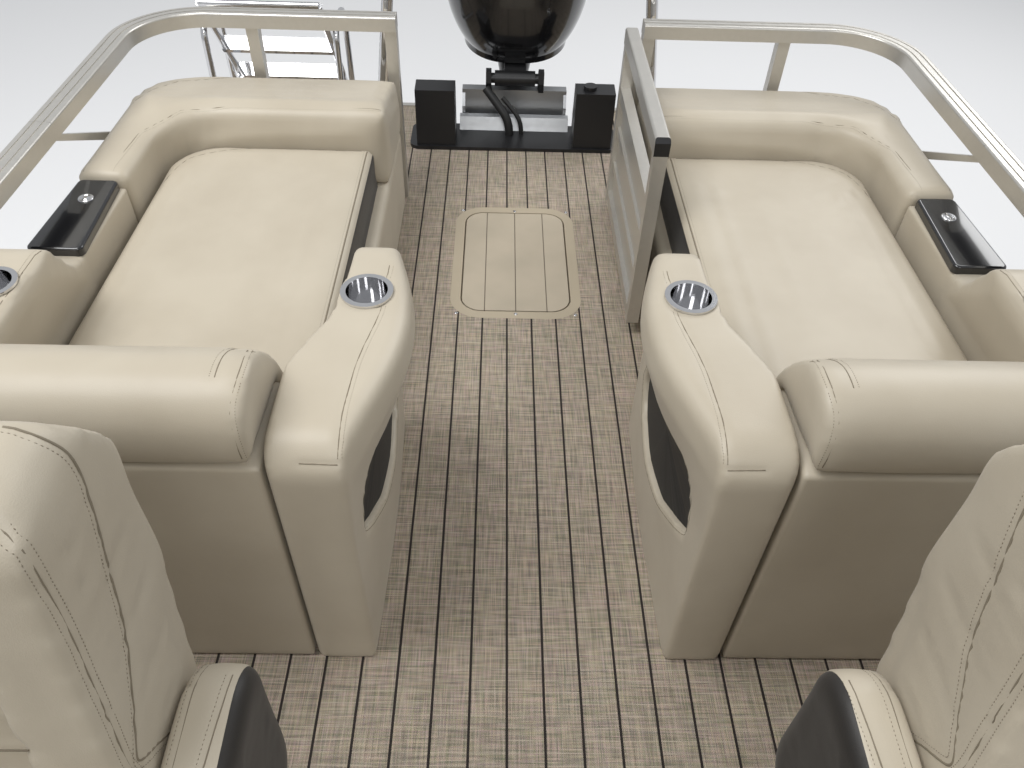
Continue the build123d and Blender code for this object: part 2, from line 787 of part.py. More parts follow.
def bolster():
    """The port lounger's front roll and reclining pad, as one upholstered piece."""
    front = lounger_front_x
    aft = bolster_aft_x
    low = above(lounger_base_height + 2)
    panel = above(front_panel_height)
    crest = above(bolster_top)
    roll = Spline((front, panel + 2), (front + 6, panel + 58), (front - 18, crest - 26),
                  (front - 62, crest - 2), (front - 112, crest - 3), (front - 168, crest - 38),
                  (front - 222, crest - 98), (aft + 14, crest - 182), (aft, low + 190))
    rest = Polyline((aft, low + 190), (aft, low), (aft + 68, low), (aft + 68, panel), (front, panel + 2))
    face = make_face([roll, rest])
    near = arm_outer_y + 4
    return extrude(Plane.XZ.offset(-seat_outer_y) * face, seat_outer_y - near)


def arm_section(x, foot_y, waist_y, flare_y):
    """A cross-section of the port aisle arm, seen along the boat."""
    top = above(arm_top) + running_gap
    outer = arm_outer_y + 1
    outline = rounded([(foot_y, above(-1)), (waist_y, above(arm_waist_height)),
                       (flare_y, above(arm_flare_height)), (flare_y + 8, top), (outer, top),
                       (outer, above(-1))], [0, 150, arm_edge_round, arm_edge_round, 0, 0])
    return Plane.YZ.offset(x) * outline


def aisle_arm():
    """The port arm beside the walkway: a padded pod that swells to the cup holder, with a leaf pocket."""
    front = lounger_front_x
    inner = arm_inner_y
    outer = arm_outer_y
    low = above(0)
    high = above(arm_top)
    swell = loft([
        arm_section(front + 2, inner, inner - 2, inner - 6),
        arm_section(cup_x + 190, inner - 8, inner - 22, inner - 70),
        arm_section(cup_x, inner - 10, inner - 26, inner - 84),
        arm_section(cup_x - 110, inner - 8, inner - 14, inner - 62),
        arm_section(arm_foot_x - 12, inner, inner - 4, inner - 20),
    ])
    nose = cup_x - 168
    side = rounded([(front, low), (front, high), (nose, high), (nose - 26, above(arm_flare_height - 40)),
                    (arm_foot_x, above(260)), (arm_foot_x, low)],
                   [0, arm_front_round, arm_nose_round, 120, 90, 0])
    plan = rounded([(front + 1, inner - 120), (front + 1, outer), (cup_x + 205, outer),
                    (cup_x + 60, outer - 63), (cup_x - 110, outer - 78), (arm_foot_x - 1, outer - 82),
                    (arm_foot_x - 1, inner - 120)], [0, 26, 150, 120, 0, 50, 0])
    body = side_cut(side, inner - 120, outer) & extrude(Plane.XY.offset(low) * plan, arm_top)
    body = body & swell
    leaf = rounded([(front - 599, low + 262), (front - 572, low + 340), (front - 455, low + 418),
                    (front - 270, low + 492), (front - 118, low + 515), (front - 84, low + 345),
                    (front - 247, low + 240), (front - 419, low + 188), (front - 560, low + 200)],
                   [55, 60, 150, 200, 40, 16, 150, 150, 60])
    floor = plan_prism([(front - 700, 0), (front - 700, inner + 22), (front - 330, inner + 52),
                        (front - 60, inner + recess_depth), (front - 60, 0)], low, high)
    body = body - (side_cut(leaf, inner - 120, outer) & floor)
    cup = Pos(cup_x, cup_y, above(arm_top - cup_depth / 2 + 10)) \
        * Cylinder(cup_bore_radius + cup_wall + 0.5, cup_depth + 24)
    return body - cup


def side_tray():
    """The port gloss tray between the backrest and the side arm."""
    inner = side_arm_inner_y
    outline = rounded([(tray_aft_x, inner + 20), (tray_aft_x, seat_outer_y - 15),
                       (tray_fore_x, seat_outer_y - 3), (tray_fore_x, inner + 2)], [tray_corner] * 4)
    tray = extrude(Plane.XY.offset(above(tray_top - tray_thickness)) * outline, tray_thickness)
    return fillet(tray.edges().group_by(Axis.Z)[-1], tray_edge_round)


def side_arm():
    """The port side arm: a swelling end with a cup holder, and the low ledge under the tray."""
    fore = bolster_aft_x - 3
    nose = tray_fore_x + 2
    low = above(lounger_base_height)
    ledge = block((tray_aft_x, side_arm_inner_y + 6, low),
                  (nose + 48, seat_outer_y, above(tray_top - tray_thickness)))
    top = above(side_arm_top)
    profile = rounded([(fore, low), (fore, top), (side_cup_x - 128, top), (nose + 70, above(tray_top + 4)),
                       (nose, above(tray_top - tray_thickness)), (nose, low)], [0, 0, 70, 60, 4, 0])
    inner = side_arm_inner_y
    face = rounded([(inner, low), (inner, above(mattress_top + 10)),
                    (inner - side_arm_flare, above(side_arm_top - 40)),
                    (inner - side_arm_flare + 4, above(side_arm_top)), (seat_outer_y, above(side_arm_top)),
                    (seat_outer_y, low)], [0, 90, side_arm_round, side_arm_round - 6, 14, 0])
    swell = extrude(Plane.YZ.offset(nose - 1) * face, fore - nose + 2)
    arm = side_cut(profile, inner - side_arm_flare - 5, seat_outer_y + 5) & swell
    plan = rounded([(fore + 5, inner - side_arm_flare - 5), (side_cup_x - 60, inner - side_arm_flare - 5),
                    (nose - 5, inner + 4), (nose - 5, seat_outer_y + 5), (fore + 5, seat_outer_y + 5)],
                   [0, 260, 0, 0, 0])
    arm = arm & extrude(Plane.XY.offset(low) * plan, side_arm_top)
    cup = Pos(side_cup_x, side_cup_y, above(side_arm_top - cup_depth / 2 + 10)) \
        * Cylinder(cup_bore_radius + cup_wall + 0.5, cup_depth + 24)
    return ledge + arm - cup


def cup_holder(x, y, top):
    """A flanged cup."""
    flange = Pos(x, y, above(top + cup_flange / 2)) * Cylinder(cup_flange_radius, cup_flange)
    cup = Pos(x, y, above(top - cup_depth / 2 + cup_flange)) * Cylinder(cup_bore_radius + cup_wall, cup_depth)
    bore = Pos(x, y, above(top + cup_flange - cup_depth / 2 + 3)) * Cylinder(cup_bore_radius, cup_depth)
    return flange + cup - bore


def chair_pedestal(y):
    """A floor plate and post."""
    foot = Pos(chair_x, y, above(6)) * Cylinder(chair_foot_radius, 12)
    post = Pos(chair_x, y, above(chair_post_height / 2)) * Cylinder(chair_post_radius, chair_post_height)
    return foot + post


def chair_seat(y):
    """Slide plate, seat cushion and the two arms of one chair, as one upholstered body."""
    low = above(chair_seat_bottom)
    hub = Pos(chair_x, y, above(chair_post_height + 12.5 + running_gap)) * Cylinder(60, 25)
    seat = block((chair_x + chair_seat_aft, y - chair_seat_half, low),
                 (chair_x + chair_seat_fore, y + chair_seat_half, above(chair_seat_top)))
    seat = fillet(seat.edges().filter_by(Axis.Y).group_by(Axis.X)[-1], 45)
    body = hub + seat
    aft = chair_x + chair_arm_aft
    fore = chair_x + chair_arm_fore
    profile = rounded([(aft, above(chair_arm_bottom + 30)), (aft, above(chair_arm_top)),
                       (fore, above(chair_arm_top - 16)), (fore - 30, above(chair_arm_bottom))],
                      [70, 66, 80, 60])
    for side in (-1, 1):
        span = sorted((y + side * (chair_seat_half - 1), y + side * (chair_seat_half + chair_arm_width)))
        arm = side_cut(profile, *span)
        outer_face = arm.faces().filter_by(Axis.Y).sort_by(Axis.Y)[-1 if side > 0 else 0]
        arm = fillet(outer_face.edges(), 22)
        body = body + arm
    return body


def chair_back(y):
    """The padded backrest: two side wings round a recessed middle, and rounded shoulders."""
    aft = chair_x + chair_back_aft
    fore = chair_x + chair_back_fore
    seat_aft = chair_x + chair_seat_aft - running_gap
    seat_top = above(chair_seat_top) + running_gap
    top = above(chair_back_top)
    profile = rounded([(seat_aft, above(chair_back_foot)), (seat_aft, seat_top), (fore, seat_top),
                       (fore - 42, above(760)), (fore - 104, top - 60), (fore - 150, top), (aft + 70, top),
                       (aft - 2, top - 100), (aft, above(840)), (aft + 36, above(620)),
                       (aft + 66, above(chair_back_foot))],
                      [0, 0, 30, 200, 60, 34, 40, 70, 300, 300, 10])
    half = chair_back_half
    height = chair_back_top - chair_back_foot + 60
    outline = Plane.YZ.offset(aft - 100) * Pos(y, above(chair_back_top - height / 2)) \
        * RectangleRounded(2 * half, height, chair_shoulder)
    body = side_cut(profile, y - half - 1, y + half + 1) & extrude(outline, 600)
    hollow = rounded([(fore + 60, seat_top), (fore - chair_back_recess, seat_top + 1),
                      (fore - 42 - chair_back_recess, above(760)), (fore - 96 - chair_back_recess, top - 110),
                      (fore + 20, top - 96)], [0, 0, 200, 30, 0])
    return body - side_cut(hollow, y - half + 78, y + half - 78)


wheel_axis = Vector(-cos(radians(wheel_tilt)), 0, sin(radians(wheel_tilt)))
wheel_base = Vector(console_aft_x + 75.0, wheel_y, above((console_dash_low + console_top) / 2))
wheel_plane = Plane(origin=wheel_base, z_dir=wheel_axis)


def helm_console():
    """The starboard console: kneehole face, sloped dash and rounded shoulders."""
    profile = [
        (console_aft_x + console_toe_depth, above(0)),
        (console_aft_x + console_toe_depth, above(console_toe)),
        (console_aft_x + console_toe_depth / 2, above(console_shin_height)),
        (console_aft_x, above(console_knee_height)), (console_aft_x, above(console_dash_low)),
        (console_aft_x + console_dash_depth, above(console_top)),
        (console_fore_x - console_shoulder_length, above(console_top)),
        (console_fore_x - console_shoulder_length / 4, above(console_shoulder_height)),
        (console_fore_x, above(console_front_height)), (console_fore_x, above(0)),
    ]
    body = side_prism(profile, -seat_outer_y, console_aisle_y)
    boss_length = wheel_stand_off - wheel_hub_length - running_gap
    boss = wheel_plane.offset(boss_length / 2 - 10).location \
        * Cylinder(wheel_hub_radius - 8, boss_length + 20)
    return body + boss


def windscreen():
    """A low curved screen on the console's top."""
    low = above(console_top)
    high = low + screen_height
    aft = console_aft_x + screen_set_back
    fore = console_fore_x - screen_set_back
    inner_y = console_aisle_y - screen_inset - 20
    outer_y = screen_inset - seat_outer_y
    outer = rounded([(aft, inner_y), (fore, inner_y), (fore, outer_y), (aft, outer_y)],
                    [0, screen_round, screen_round, 0])
    t = screen_thickness
    inner = rounded([(aft - 10, inner_y - t), (fore - t, inner_y - t), (fore - t, outer_y + t),
                     (aft - 10, outer_y + t)], [0, screen_round - t, screen_round - t, 0])
    pane = extrude(Plane.XY.offset(low) * (outer - inner), screen_height)
    slope = side_prism([(aft - 200, low + 60), (aft + 10, low + 60), (aft + 140, high),
                        (aft + 140, high + 50), (aft - 200, high + 50)], -seat_outer_y, 0)
    return pane - slope


def steering_wheel():
    """Rim, three spokes and hub, on the dash's shaft."""
    rim = wheel_plane.offset(wheel_stand_off).location * Torus(wheel_radius, wheel_rim_radius)
    hub_plane = wheel_plane.offset(wheel_stand_off - wheel_hub_length / 2)
    hub = hub_plane.location * Cylinder(wheel_hub_radius, wheel_hub_length)
    body = rim + hub
    for angle in (90, 210, 330):
        spoke = wheel_plane.offset(wheel_stand_off - 10).location * Rot(0, 0, angle) \
            * Pos(wheel_radius / 2, 0, 0) * Box(wheel_radius, 24, 9)
        body = body + spoke
    return body


def throttle():
    """The binnacle control beside the wheel."""
    low = above(console_top)
    aft = console_aft_x + console_dash_depth
    near = throttle_y + throttle_width / 2
    far = throttle_y - throttle_width / 2
    base = side_cut(rounded([(aft, low), (aft + 10, low + throttle_height),
                             (aft + 80, low + throttle_height), (aft + 95, low)], [0, 16, 22, 0]), far, near)
    tip = low + 40 + lever_length
    lever = side_cut(rounded([(aft + 40, low + 40), (aft + 20, tip), (aft + 45, tip), (aft + 65, low + 40)],
                             [6, 6, 6, 6]), near - 0.5, near + 18)
    grip = Pos(aft + 33, near - 25, tip - 4) * Rot(90, 0, 0) * Cylinder(15, 86)
    return base + lever + grip


def bow_lounge():
    """Port bow base, cushion and backrest, which follow the forward corner."""
    round_corner = fence_fore_radius - top_rail_width - seat_gap
    back_fore_x = bow_seat_fore_x - bow_back_width
    small_corner = round_corner - bow_back_width
    base = rounded([(bow_arm_aft_x, bow_seat_inner_y + 20), (bow_seat_fore_x, bow_seat_inner_y + 20),
                    (bow_seat_fore_x, seat_outer_y), (bow_arm_aft_x, seat_outer_y)], [0, 40, round_corner, 0])
    base = extrude(Plane.XY.offset(above(0)) * base, bow_base_height)
    pad = rounded([(bow_seat_aft_x + 4, bow_seat_inner_y), (back_fore_x - 5, bow_seat_inner_y),
                   (back_fore_x - 5, bow_back_inner_y - 4), (bow_seat_aft_x + 4, bow_back_inner_y - 4)],
                  [20, 20, small_corner, 45])
    pad = extrude(Plane.XY.offset(above(bow_base_height)) * pad, bow_cushion_top - bow_base_height)
    pad = fillet(pad.edges().group_by(Axis.Z)[-1], mattress_round)
    outer = rounded([(bow_arm_aft_x, bow_seat_inner_y), (bow_seat_fore_x, bow_seat_inner_y),
                     (bow_seat_fore_x, seat_outer_y), (bow_arm_aft_x, seat_outer_y)],
                    [50, 30, round_corner, 0])
    inner = rounded([(bow_seat_aft_x, 0), (back_fore_x, 0), (back_fore_x, bow_back_inner_y),
                     (bow_seat_aft_x, bow_back_inner_y)], [0, 0, small_corner, 40])
    back = extrude(Plane.XY.offset(above(bow_base_height)) * (outer - inner),
                   bow_back_height - bow_base_height)
    back = fillet(back.edges().group_by(Axis.Z)[-1], backrest_round)
    return base, pad, back


def tilted(shape):
    """Turn an upright outboard piece about the tilt tube to its parked angle."""
    return Pos(tilt_x, 0, axis_z) * Rot(0, park_tilt, 0) * shape


def upright_point(x, y, z):
    """A point given from the upright outboard's tilt tube, in the parked pose."""
    angle = radians(park_tilt)
    return Vector(tilt_x + x * cos(angle) + z * sin(angle), y, axis_z - x * sin(angle) + z * cos(angle))


def clamp_bracket():
    """Transom clamps, hook plates and the tilt tube."""
    aft = tilt_x - transom_thickness
    body = Pos(tilt_x, 0, axis_z) * Rot(90, 0, 0) * Cylinder(tilt_tube_radius, 2 * clamp_half)
    for side in (-1, 1):
        span = sorted((side * clamp_half, side * (clamp_half - clamp_plate)))
        ear = side_prism([(aft - 20, above(-240)), (aft - 20, axis_z - 10), (tilt_x - 20, axis_z + 32),
                          (tilt_x + 20, axis_z + 32), (tilt_x + 30, axis_z - 10),
                          (tilt_x + 20, above(transom_height)), (aft, above(transom_height)),
                          (aft, above(-240))], *span)
        body = body + ear
    return body


def swivel_bracket():
    """The barrel on the tilt tube, and the web that holds the steering tube."""
    barrel = Rot(90, 0, 0) * Cylinder(swivel_barrel_radius, 2 * swivel_half)
    web = side_prism([(0, swivel_top), (-steer_back, swivel_top), (-steer_back, swivel_foot * 0.7),
                      (-steer_back + 18, swivel_foot * 0.7), (-steer_back + 62, -60), (-steer_back + 80, -24),
                      (0, -14)], -44, 44)
    tube = Pos(-steer_back, 0, (swivel_top + swivel_foot) / 2) \
        * Cylinder(steering_tube_radius, swivel_top - swivel_foot)
    bore = Rot(90, 0, 0) * Cylinder(tilt_tube_radius + running_gap, 3 * swivel_half)
    return tilted(barrel + web + tube - bore)


def leg():
    """Mount arms, lower pan, exhaust housing, anti-ventilation plate, gearcase and skeg."""
    front = -steer_back - 62
    foot, centre, length, width = cowl_table()[0]
    pan = extrude(Plane.XY.offset(foot - pan_thickness) * Pos(centre, 0)
                  * RectangleRounded(length - 4, width - 4, width * 0.42 - 2), pan_thickness)
    top_arm = block((-steer_back - 60, -50, swivel_top + running_gap), (-steer_back + 45, 50, foot - 4))
    low_arm = block((front - 20, -44, swivel_foot - 42), (-steer_back + 30, 44, swivel_foot - running_gap))
    housing = loft([
        Plane.XY.offset(foot - 4) * Pos(-steer_back - 190, 0) * RectangleRounded(256, 200, 60),
        Plane.XY.offset(-200) * Pos(-steer_back - 160, 0) * RectangleRounded(196, 110, 40),
        Plane.XY.offset(-plate_drop) * Pos(-steer_back - 160, 0) * RectangleRounded(196, 84, 36),
    ], ruled=True)
    plate = Pos(-steer_back - 205, 0, -plate_drop) * extrude(RectangleRounded(430, 190, 60), 8, both=True)
    strut = loft([
        Plane.XY.offset(-plate_drop) * Pos(-steer_back - 175, 0) * RectangleRounded(230, 80, 30),
        Plane.XY.offset(-propeller_drop + 30) * Pos(-steer_back - 185, 0) * RectangleRounded(250, 60, 26),
    ], ruled=True)
    bullet_start = -steer_back - 30
    bullet_length = propeller_back - 5 + bullet_start
    bullet = Pos(bullet_start - bullet_length / 2, 0, -propeller_drop) * Rot(0, 90, 0) \
        * Cylinder(52, bullet_length)
    nose = Pos(bullet_start, 0, -propeller_drop) * Sphere(52)
    skeg = side_prism([(-steer_back - 90, -propeller_drop - 30), (-steer_back - 300, -propeller_drop - 30),
                       (-steer_back - 300, -propeller_drop - 60), (-steer_back - 250, -skeg_drop),
                       (-steer_back - 190, -skeg_drop)], -7, 7)
    shaft = Pos(-steer_back - 420, 0, -propeller_drop) * Rot(0, 90, 0) * Cylinder(12, 240)
    return tilted(pan + top_arm + low_arm + housing + plate + strut + bullet + nose + skeg + shaft)


def cowl_table():
    """The cowl from rim to crown: height, middle, length and width of each outline."""
    span = cowl_top - cowl_foot
    return (
        (cowl_foot, -0.46 * cowl_length, 0.79 * cowl_length, 0.74 * cowl_width),
        (cowl_foot + 0.16 * span, -0.485 * cowl_length, 0.92 * cowl_length, 0.90 * cowl_width),
        (cowl_foot + 0.43 * span, -0.51 * cowl_length, cowl_length, cowl_width),
        (cowl_foot + 0.76 * span, -0.54 * cowl_length, 0.95 * cowl_length, 0.92 * cowl_width),
        (cowl_top, -0.60 * cowl_length, 0.66 * cowl_length, 0.60 * cowl_width),
    )


def cowl_hood(shrink):
    """The cowl's form, made smaller all round by an amount."""
    faces = []
    for height, centre, length, width in cowl_table():
        outline = RectangleRounded(length - 2 * shrink, width - 2 * shrink, width * 0.42 - shrink)
        faces.append(Plane.XY.offset(height - shrink + running_gap) * Pos(centre, 0) * outline)
    return loft(faces)


def cowl():
    """The moulded hood, open underneath."""
    hood = cowl_hood(0)
    rim = hood.edges().group_by(Axis.Z)[-1]
    return tilted(fillet(rim, 40) - cowl_hood(cowl_wall))


def engine():
    """The engine's mass as a plain block under the hood."""
    return tilted(block((-0.81 * cowl_length, -0.2 * cowl_width, cowl_foot + running_gap),
                        (-0.3 * cowl_length, 0.2 * cowl_width, cowl_foot + 400)))


def propeller():
    """Hub and three blades."""
    hub = Pos(-propeller_back - 55, 0, -propeller_drop) * Rot(0, 90, 0) * Cylinder(46, 110)
    body = hub
    blade_height = 84.0
    blade = extrude(Ellipse(58, blade_height), 6, both=True)
    placed = Pos(0, 0, propeller_radius - blade_height) * Rot(0, 0, 28) * Rot(0, 90, 0) \
        * Rot(0, 0, 90) * blade
    for index in range(3):
        body = body + Pos(-propeller_back - 55, 0, -propeller_drop) * Rot(index * 120, 0, 0) * placed
    bore = Pos(-propeller_back - 55, 0, -propeller_drop) * Rot(0, 90, 0) * Cylinder(12 + running_gap, 400)
    return tilted(body - bore)


def hoses():
    """The rigging bundle from the splash plate towards the lower pan's front."""
    foot = well_front_x
    low = above(splash_thickness + running_gap)
    paths = (
        (20.0, ((foot + 85, -20, low), (foot + 85, -20, above(70)), (foot + 55, -70, above(130)),
                (foot + 20, -118, above(178)))),
        (9.0, ((foot + 78, 30, low), (foot + 78, 30, above(60)), (foot + 60, -5, above(110)),
               (foot + 40, -50, above(150)))),
    )
    return [tube_along(list(points), radius, 40) for radius, points in paths]


def cleat(x, y):
    """A horned mooring cleat."""
    reach = cleat_length / 4
    foot = block((x - reach, y - 14, above(0)), (x + reach, y + 14, above(6)))
    posts = block((x - reach + 20, y - 7, above(5)), (x - reach + 33, y + 7, above(34))) \
        + block((x + reach - 33, y - 7, above(5)), (x + reach - 20, y + 7, above(34)))
    horn = Pos(x, y, above(38)) * Rot(0, 90, 0) * Cylinder(8, cleat_length)
    return foot + posts + horn


def main():
    """Build every node."""
    os.makedirs("parts", exist_ok=True)
    side_tube = pontoon(tube_spacing)
    save("pontoon_port", side_tube)
    save("pontoon_starboard", starboard_of(side_tube))
    locker_space = floor_locker_outline(locker_inset + 1, locker_top_z - locker_depth - 1, deck_top_z)
    save("pontoon_centre", pontoon(0) - locker_space)
    save("crossmembers", *crossmembers())
    save("deck", *deck())
    save("deck_edge_trim", *deck_edge_trim())
    save("motor_pod", motor_pod())
    save("splash_well", splash_well())
    save("floor_locker", floor_locker())
    save("hatch_ring", hatch_ring())
    save("hatch_lid", hatch_lid())

    strips = fence_strips()
    stern = stern_section(strips)
    save("stern_fence", stern + hinge_pads(stern_hinge_x, hinge_y, -20, 16), starboard_of(stern))
    aft_posts = (stern_split_x + 750, stern_split_x + 1500)
    port_posts = (*aft_posts, side_gate_aft_x - low_rail_size)
    starboard_posts = (*aft_posts, bow_split_x - 640)
    save("side_fence", side_section(strips, stern_split_x + 1, side_gate_aft_x, port_posts),
         starboard_of(side_section(strips, stern_split_x + 1, bow_split_x, starboard_posts)))
    bow_pads = hinge_pads(bow_hinge_x, hinge_y, 20, 16)
    side_pads = hinge_pads(side_hinge_x, side_hinge_y, 16, 20)
    save("bow_fence", bow_section(strips, side_gate_fore_x) + bow_pads + side_pads,
         starboard_of(bow_section(strips, bow_split_x + 1)))
    skin = strips[3]
    port_spans = ((fence_aft_x, stern_split_x - 1), (stern_split_x + 1, side_gate_aft_x - 2),
                  (side_gate_fore_x + 2, fence_fore_x))
    starboard_spans = ((fence_aft_x, stern_split_x - 1), (stern_split_x + 1, bow_split_x - 1),
                       (bow_split_x + 1, fence_fore_x))
    port_skins = [section(skin, *span, gateway_half + 2, fence_half + 1) for span in port_spans]
    starboard_skins = [section(skin, *span, gateway_half + 2, fence_half + 1) for span in starboard_spans]
    save("fence_panels", *port_skins, *[starboard_of(part) for part in starboard_skins])

    stern_gate = gate(gate_length)
    save("stern_gate", Pos(stern_hinge_x, hinge_y, 0) * stern_gate)
    save("bow_gate", Pos(bow_hinge_x, hinge_y, 0) * Rot(0, 0, -90) * mirror(stern_gate, about=Plane.XZ))
    save("side_gate", Pos(side_hinge_x, side_hinge_y, 0) * Rot(0, 0, 180) * gate(side_gate_length))

    save("tow_bar", tow_bar())
    save("ladder_grab_rails", ladder_grab_rails())
    save("boarding_ladder", boarding_ladder())

    port_pieces = (("lounger_bases", lounger_base()), ("mattresses", mattress()),
                   ("stern_backrests", stern_backrest()), ("bolsters", bolster()),
                   ("aisle_arms", aisle_arm()), ("side_trays", side_tray()), ("side_arms", side_arm()))
    for name, piece in port_pieces:
        save(name, piece, starboard_of(piece))
    cups = [cup_holder(cup_x, cup_y, arm_top), cup_holder(side_cup_x, side_cup_y, side_arm_top)]
    save("cup_holders", *cups, *[starboard_of(cup) for cup in cups])

    save("chair_pedestals", chair_pedestal(chair_y), chair_pedestal(-chair_y))
    for name, y in (("port", chair_y), ("starboard", -chair_y)):
        save(f"chair_seat_{name}", chair_seat(y))
        save(f"chair_back_{name}", chair_back(y))

    save("helm_console", helm_console())
    save("windscreen", windscreen())
    save("steering_wheel", steering_wheel())
    save("throttle", throttle())

    base, pad, back = bow_lounge()
    save("bow_bases", base, starboard_of(base))
    save("bow_cushions", pad, starboard_of(pad))
    save("bow_backrests", back, starboard_of(back))

    save("clamp_bracket", clamp_bracket())
    save("swivel_bracket", swivel_bracket())
    save("outboard_leg", leg())
    save("outboard_cowl", cowl())
    save("engine_block", engine())
    save("propeller", propeller())
    save("rigging_hoses", *hoses())
    cleat_x = deck_fore_x - cleat_end_gap
    cleat_y = deck_half - cleat_side_gap
    cleats = [cleat(x, y) for x in (-cleat_x, cleat_x) for y in (-cleat_y, cleat_y)]
    save("cleats", *cleats)
    for label, point in (("tilt", upright_point(0, 0, 0)), ("steer", upright_point(-steer_back, 0, 0)),
                         ("propeller", upright_point(-propeller_back, 0, -propeller_drop)),
                         ("skeg", upright_point(-steer_back - 190, 0, -skeg_drop)),
                         ("wheel", wheel_base)):
        print(label, [round(v, 2) for v in (point.X, point.Y, point.Z)])
    print("stern hinge", stern_hinge_x, hinge_y, "bow hinge", bow_hinge_x, hinge_y,
          "side hinge", side_hinge_x, side_hinge_y)
    print("keel foot", 0, 0, 0, "deck top", deck_top_z)


main()
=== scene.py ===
"""Looks of the pontoon boat: vinyl seats, a woven floor, silver rails, chrome and a black motor.

Lengths are in metres, with +X towards the bow, +Y to port and +Z up. Each soft piece is made once
from the port half of its CAD solid and set on both sides of the boat.
"""
from math import cos, pi, radians, sin

import bmesh
import bpy
import numpy as np
from mathutils import Euler, Matrix, Vector, kdtree
from mathutils.bvhtree import BVHTree


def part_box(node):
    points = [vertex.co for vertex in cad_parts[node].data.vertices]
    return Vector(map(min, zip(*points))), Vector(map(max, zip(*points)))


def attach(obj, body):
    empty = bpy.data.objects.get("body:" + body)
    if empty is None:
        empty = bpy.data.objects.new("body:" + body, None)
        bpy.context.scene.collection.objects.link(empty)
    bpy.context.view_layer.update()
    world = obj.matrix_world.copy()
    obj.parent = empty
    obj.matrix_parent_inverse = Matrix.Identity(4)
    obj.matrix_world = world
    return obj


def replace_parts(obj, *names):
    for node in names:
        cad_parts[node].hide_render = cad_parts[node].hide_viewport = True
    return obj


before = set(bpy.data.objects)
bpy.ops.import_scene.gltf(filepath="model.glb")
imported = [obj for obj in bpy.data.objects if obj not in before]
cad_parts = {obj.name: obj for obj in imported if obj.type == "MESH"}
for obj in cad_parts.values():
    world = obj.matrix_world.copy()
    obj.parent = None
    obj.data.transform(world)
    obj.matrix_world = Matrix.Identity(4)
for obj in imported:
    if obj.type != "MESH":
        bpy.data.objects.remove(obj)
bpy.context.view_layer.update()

# Directions and sides
UP, IN, OUT, FORE, AFT = (0, 0, 1), (0, -1, 0), (0, 1, 0), (1, 0, 0), (-1, 0, 0)
HANDS = (("port", 1), ("starboard", -1))

# Places on the boat
DECK = 0.82
CHAIR_Y = 0.64
CHAIR_ARM_SIDE = 0.277
AISLE_BAND_Y = 0.441
AISLE_BAND_TOP = 0.408
SEAM_PITCH = 0.0762
SEAM_START = -0.028
LID_LINE = 0.099

# Camera: a standing person's eye between the two chairs, looking aft and down
EYE = Vector((0.02, -0.066, DECK + 1.62))
EYE_YAW = 1.848
EYE_PITCH = 44.756
EYE_ROLL = -2.265
EYE_LENS = 28.23
FILM_WIDTH = 36.0
PHOTO_WIDTH = 1024
PHOTO_HEIGHT = 768

# Colours, as linear values
CREAM = (0.50, 0.446, 0.352)
CREAM_DARK = (0.46, 0.406, 0.316)
CHARCOAL = (0.028, 0.025, 0.022)
CHARCOAL_DARK = (0.02, 0.018, 0.016)
BLACK = (0.008, 0.008, 0.009)
SILVER = (0.62, 0.60, 0.555)
THREAD = (0.23, 0.195, 0.14)
WEAVE_PALE = (0.445, 0.382, 0.302)
WEAVE_DARK = (0.215, 0.176, 0.132)
WEAVE_PICK = (0.49, 0.425, 0.335)
WEAVE_SEAM = (0.021, 0.016, 0.014)
LID_PALE = (0.50, 0.43, 0.33)
LID_DARK = (0.36, 0.315, 0.24)
# Painted shade for the hatch lid's grooves
LID_GROOVE_SHADE = (0.13, 0.105, 0.075)


def node(tree, kind, settings=None, **inputs):
    """One shader node with its settings, and its inputs as values or links."""
    made = tree.nodes.new(kind)
    for key, value in (settings or {}).items():
        setattr(made, key, value)
    for key, value in inputs.items():
        name = int(key[2:]) if key.startswith("in") else key.replace("_", " ")
        socket = made.inputs[name]
        if isinstance(value, bpy.types.NodeSocket):
            tree.links.new(value, socket)
        else:
            socket.default_value = value
    return made


def number(tree, operation, *values):
    """The result of a Math node."""
    inputs = {f"in{index}": value for index, value in enumerate(values)}
    return node(tree, "ShaderNodeMath", {"operation": operation}, **inputs).outputs[0]


def noise(tree, place, scale, detail=2.0):
    """Smooth noise, from 0 to 1."""
    return node(tree, "ShaderNodeTexNoise", Vector=place, Scale=scale, Detail=detail).outputs[0]


def remap(tree, value, **ends):
    """A value taken from one range to another."""
    return node(tree, "ShaderNodeMapRange", Value=value, **ends).outputs[0]


def blend_colour(tree, factor, first, second, mode="MIX"):
    """A colour between two others."""
    settings = {"data_type": "RGBA", "blend_type": mode}
    return node(tree, "ShaderNodeMix", settings, in0=factor, in6=first, in7=second).outputs[2]


def rgba(colour, share=1.0):
    """A colour, or a darker share of it, with full alpha."""
    return (*(value * share for value in colour), 1.0)


def shader(name, **settings):
    """A new material, with its tree, its main shader and its object coordinates."""
    made = bpy.data.materials.new(name)
    made.use_nodes = True
    tree = made.node_tree
    main = tree.nodes["Principled BSDF"]
    for key, value in settings.items():
        main.inputs[key.replace("_", " ")].default_value = value
    place = tree.nodes.new("ShaderNodeTexCoord").outputs["Object"]
    return made, tree, main, place


def bump(tree, main, height, distance):
    """Give a shader a bump from a height."""
    made = node(tree, "ShaderNodeBump", Height=height, Distance=distance, Strength=1.0)
    tree.links.new(made.outputs[0], main.inputs["Normal"])


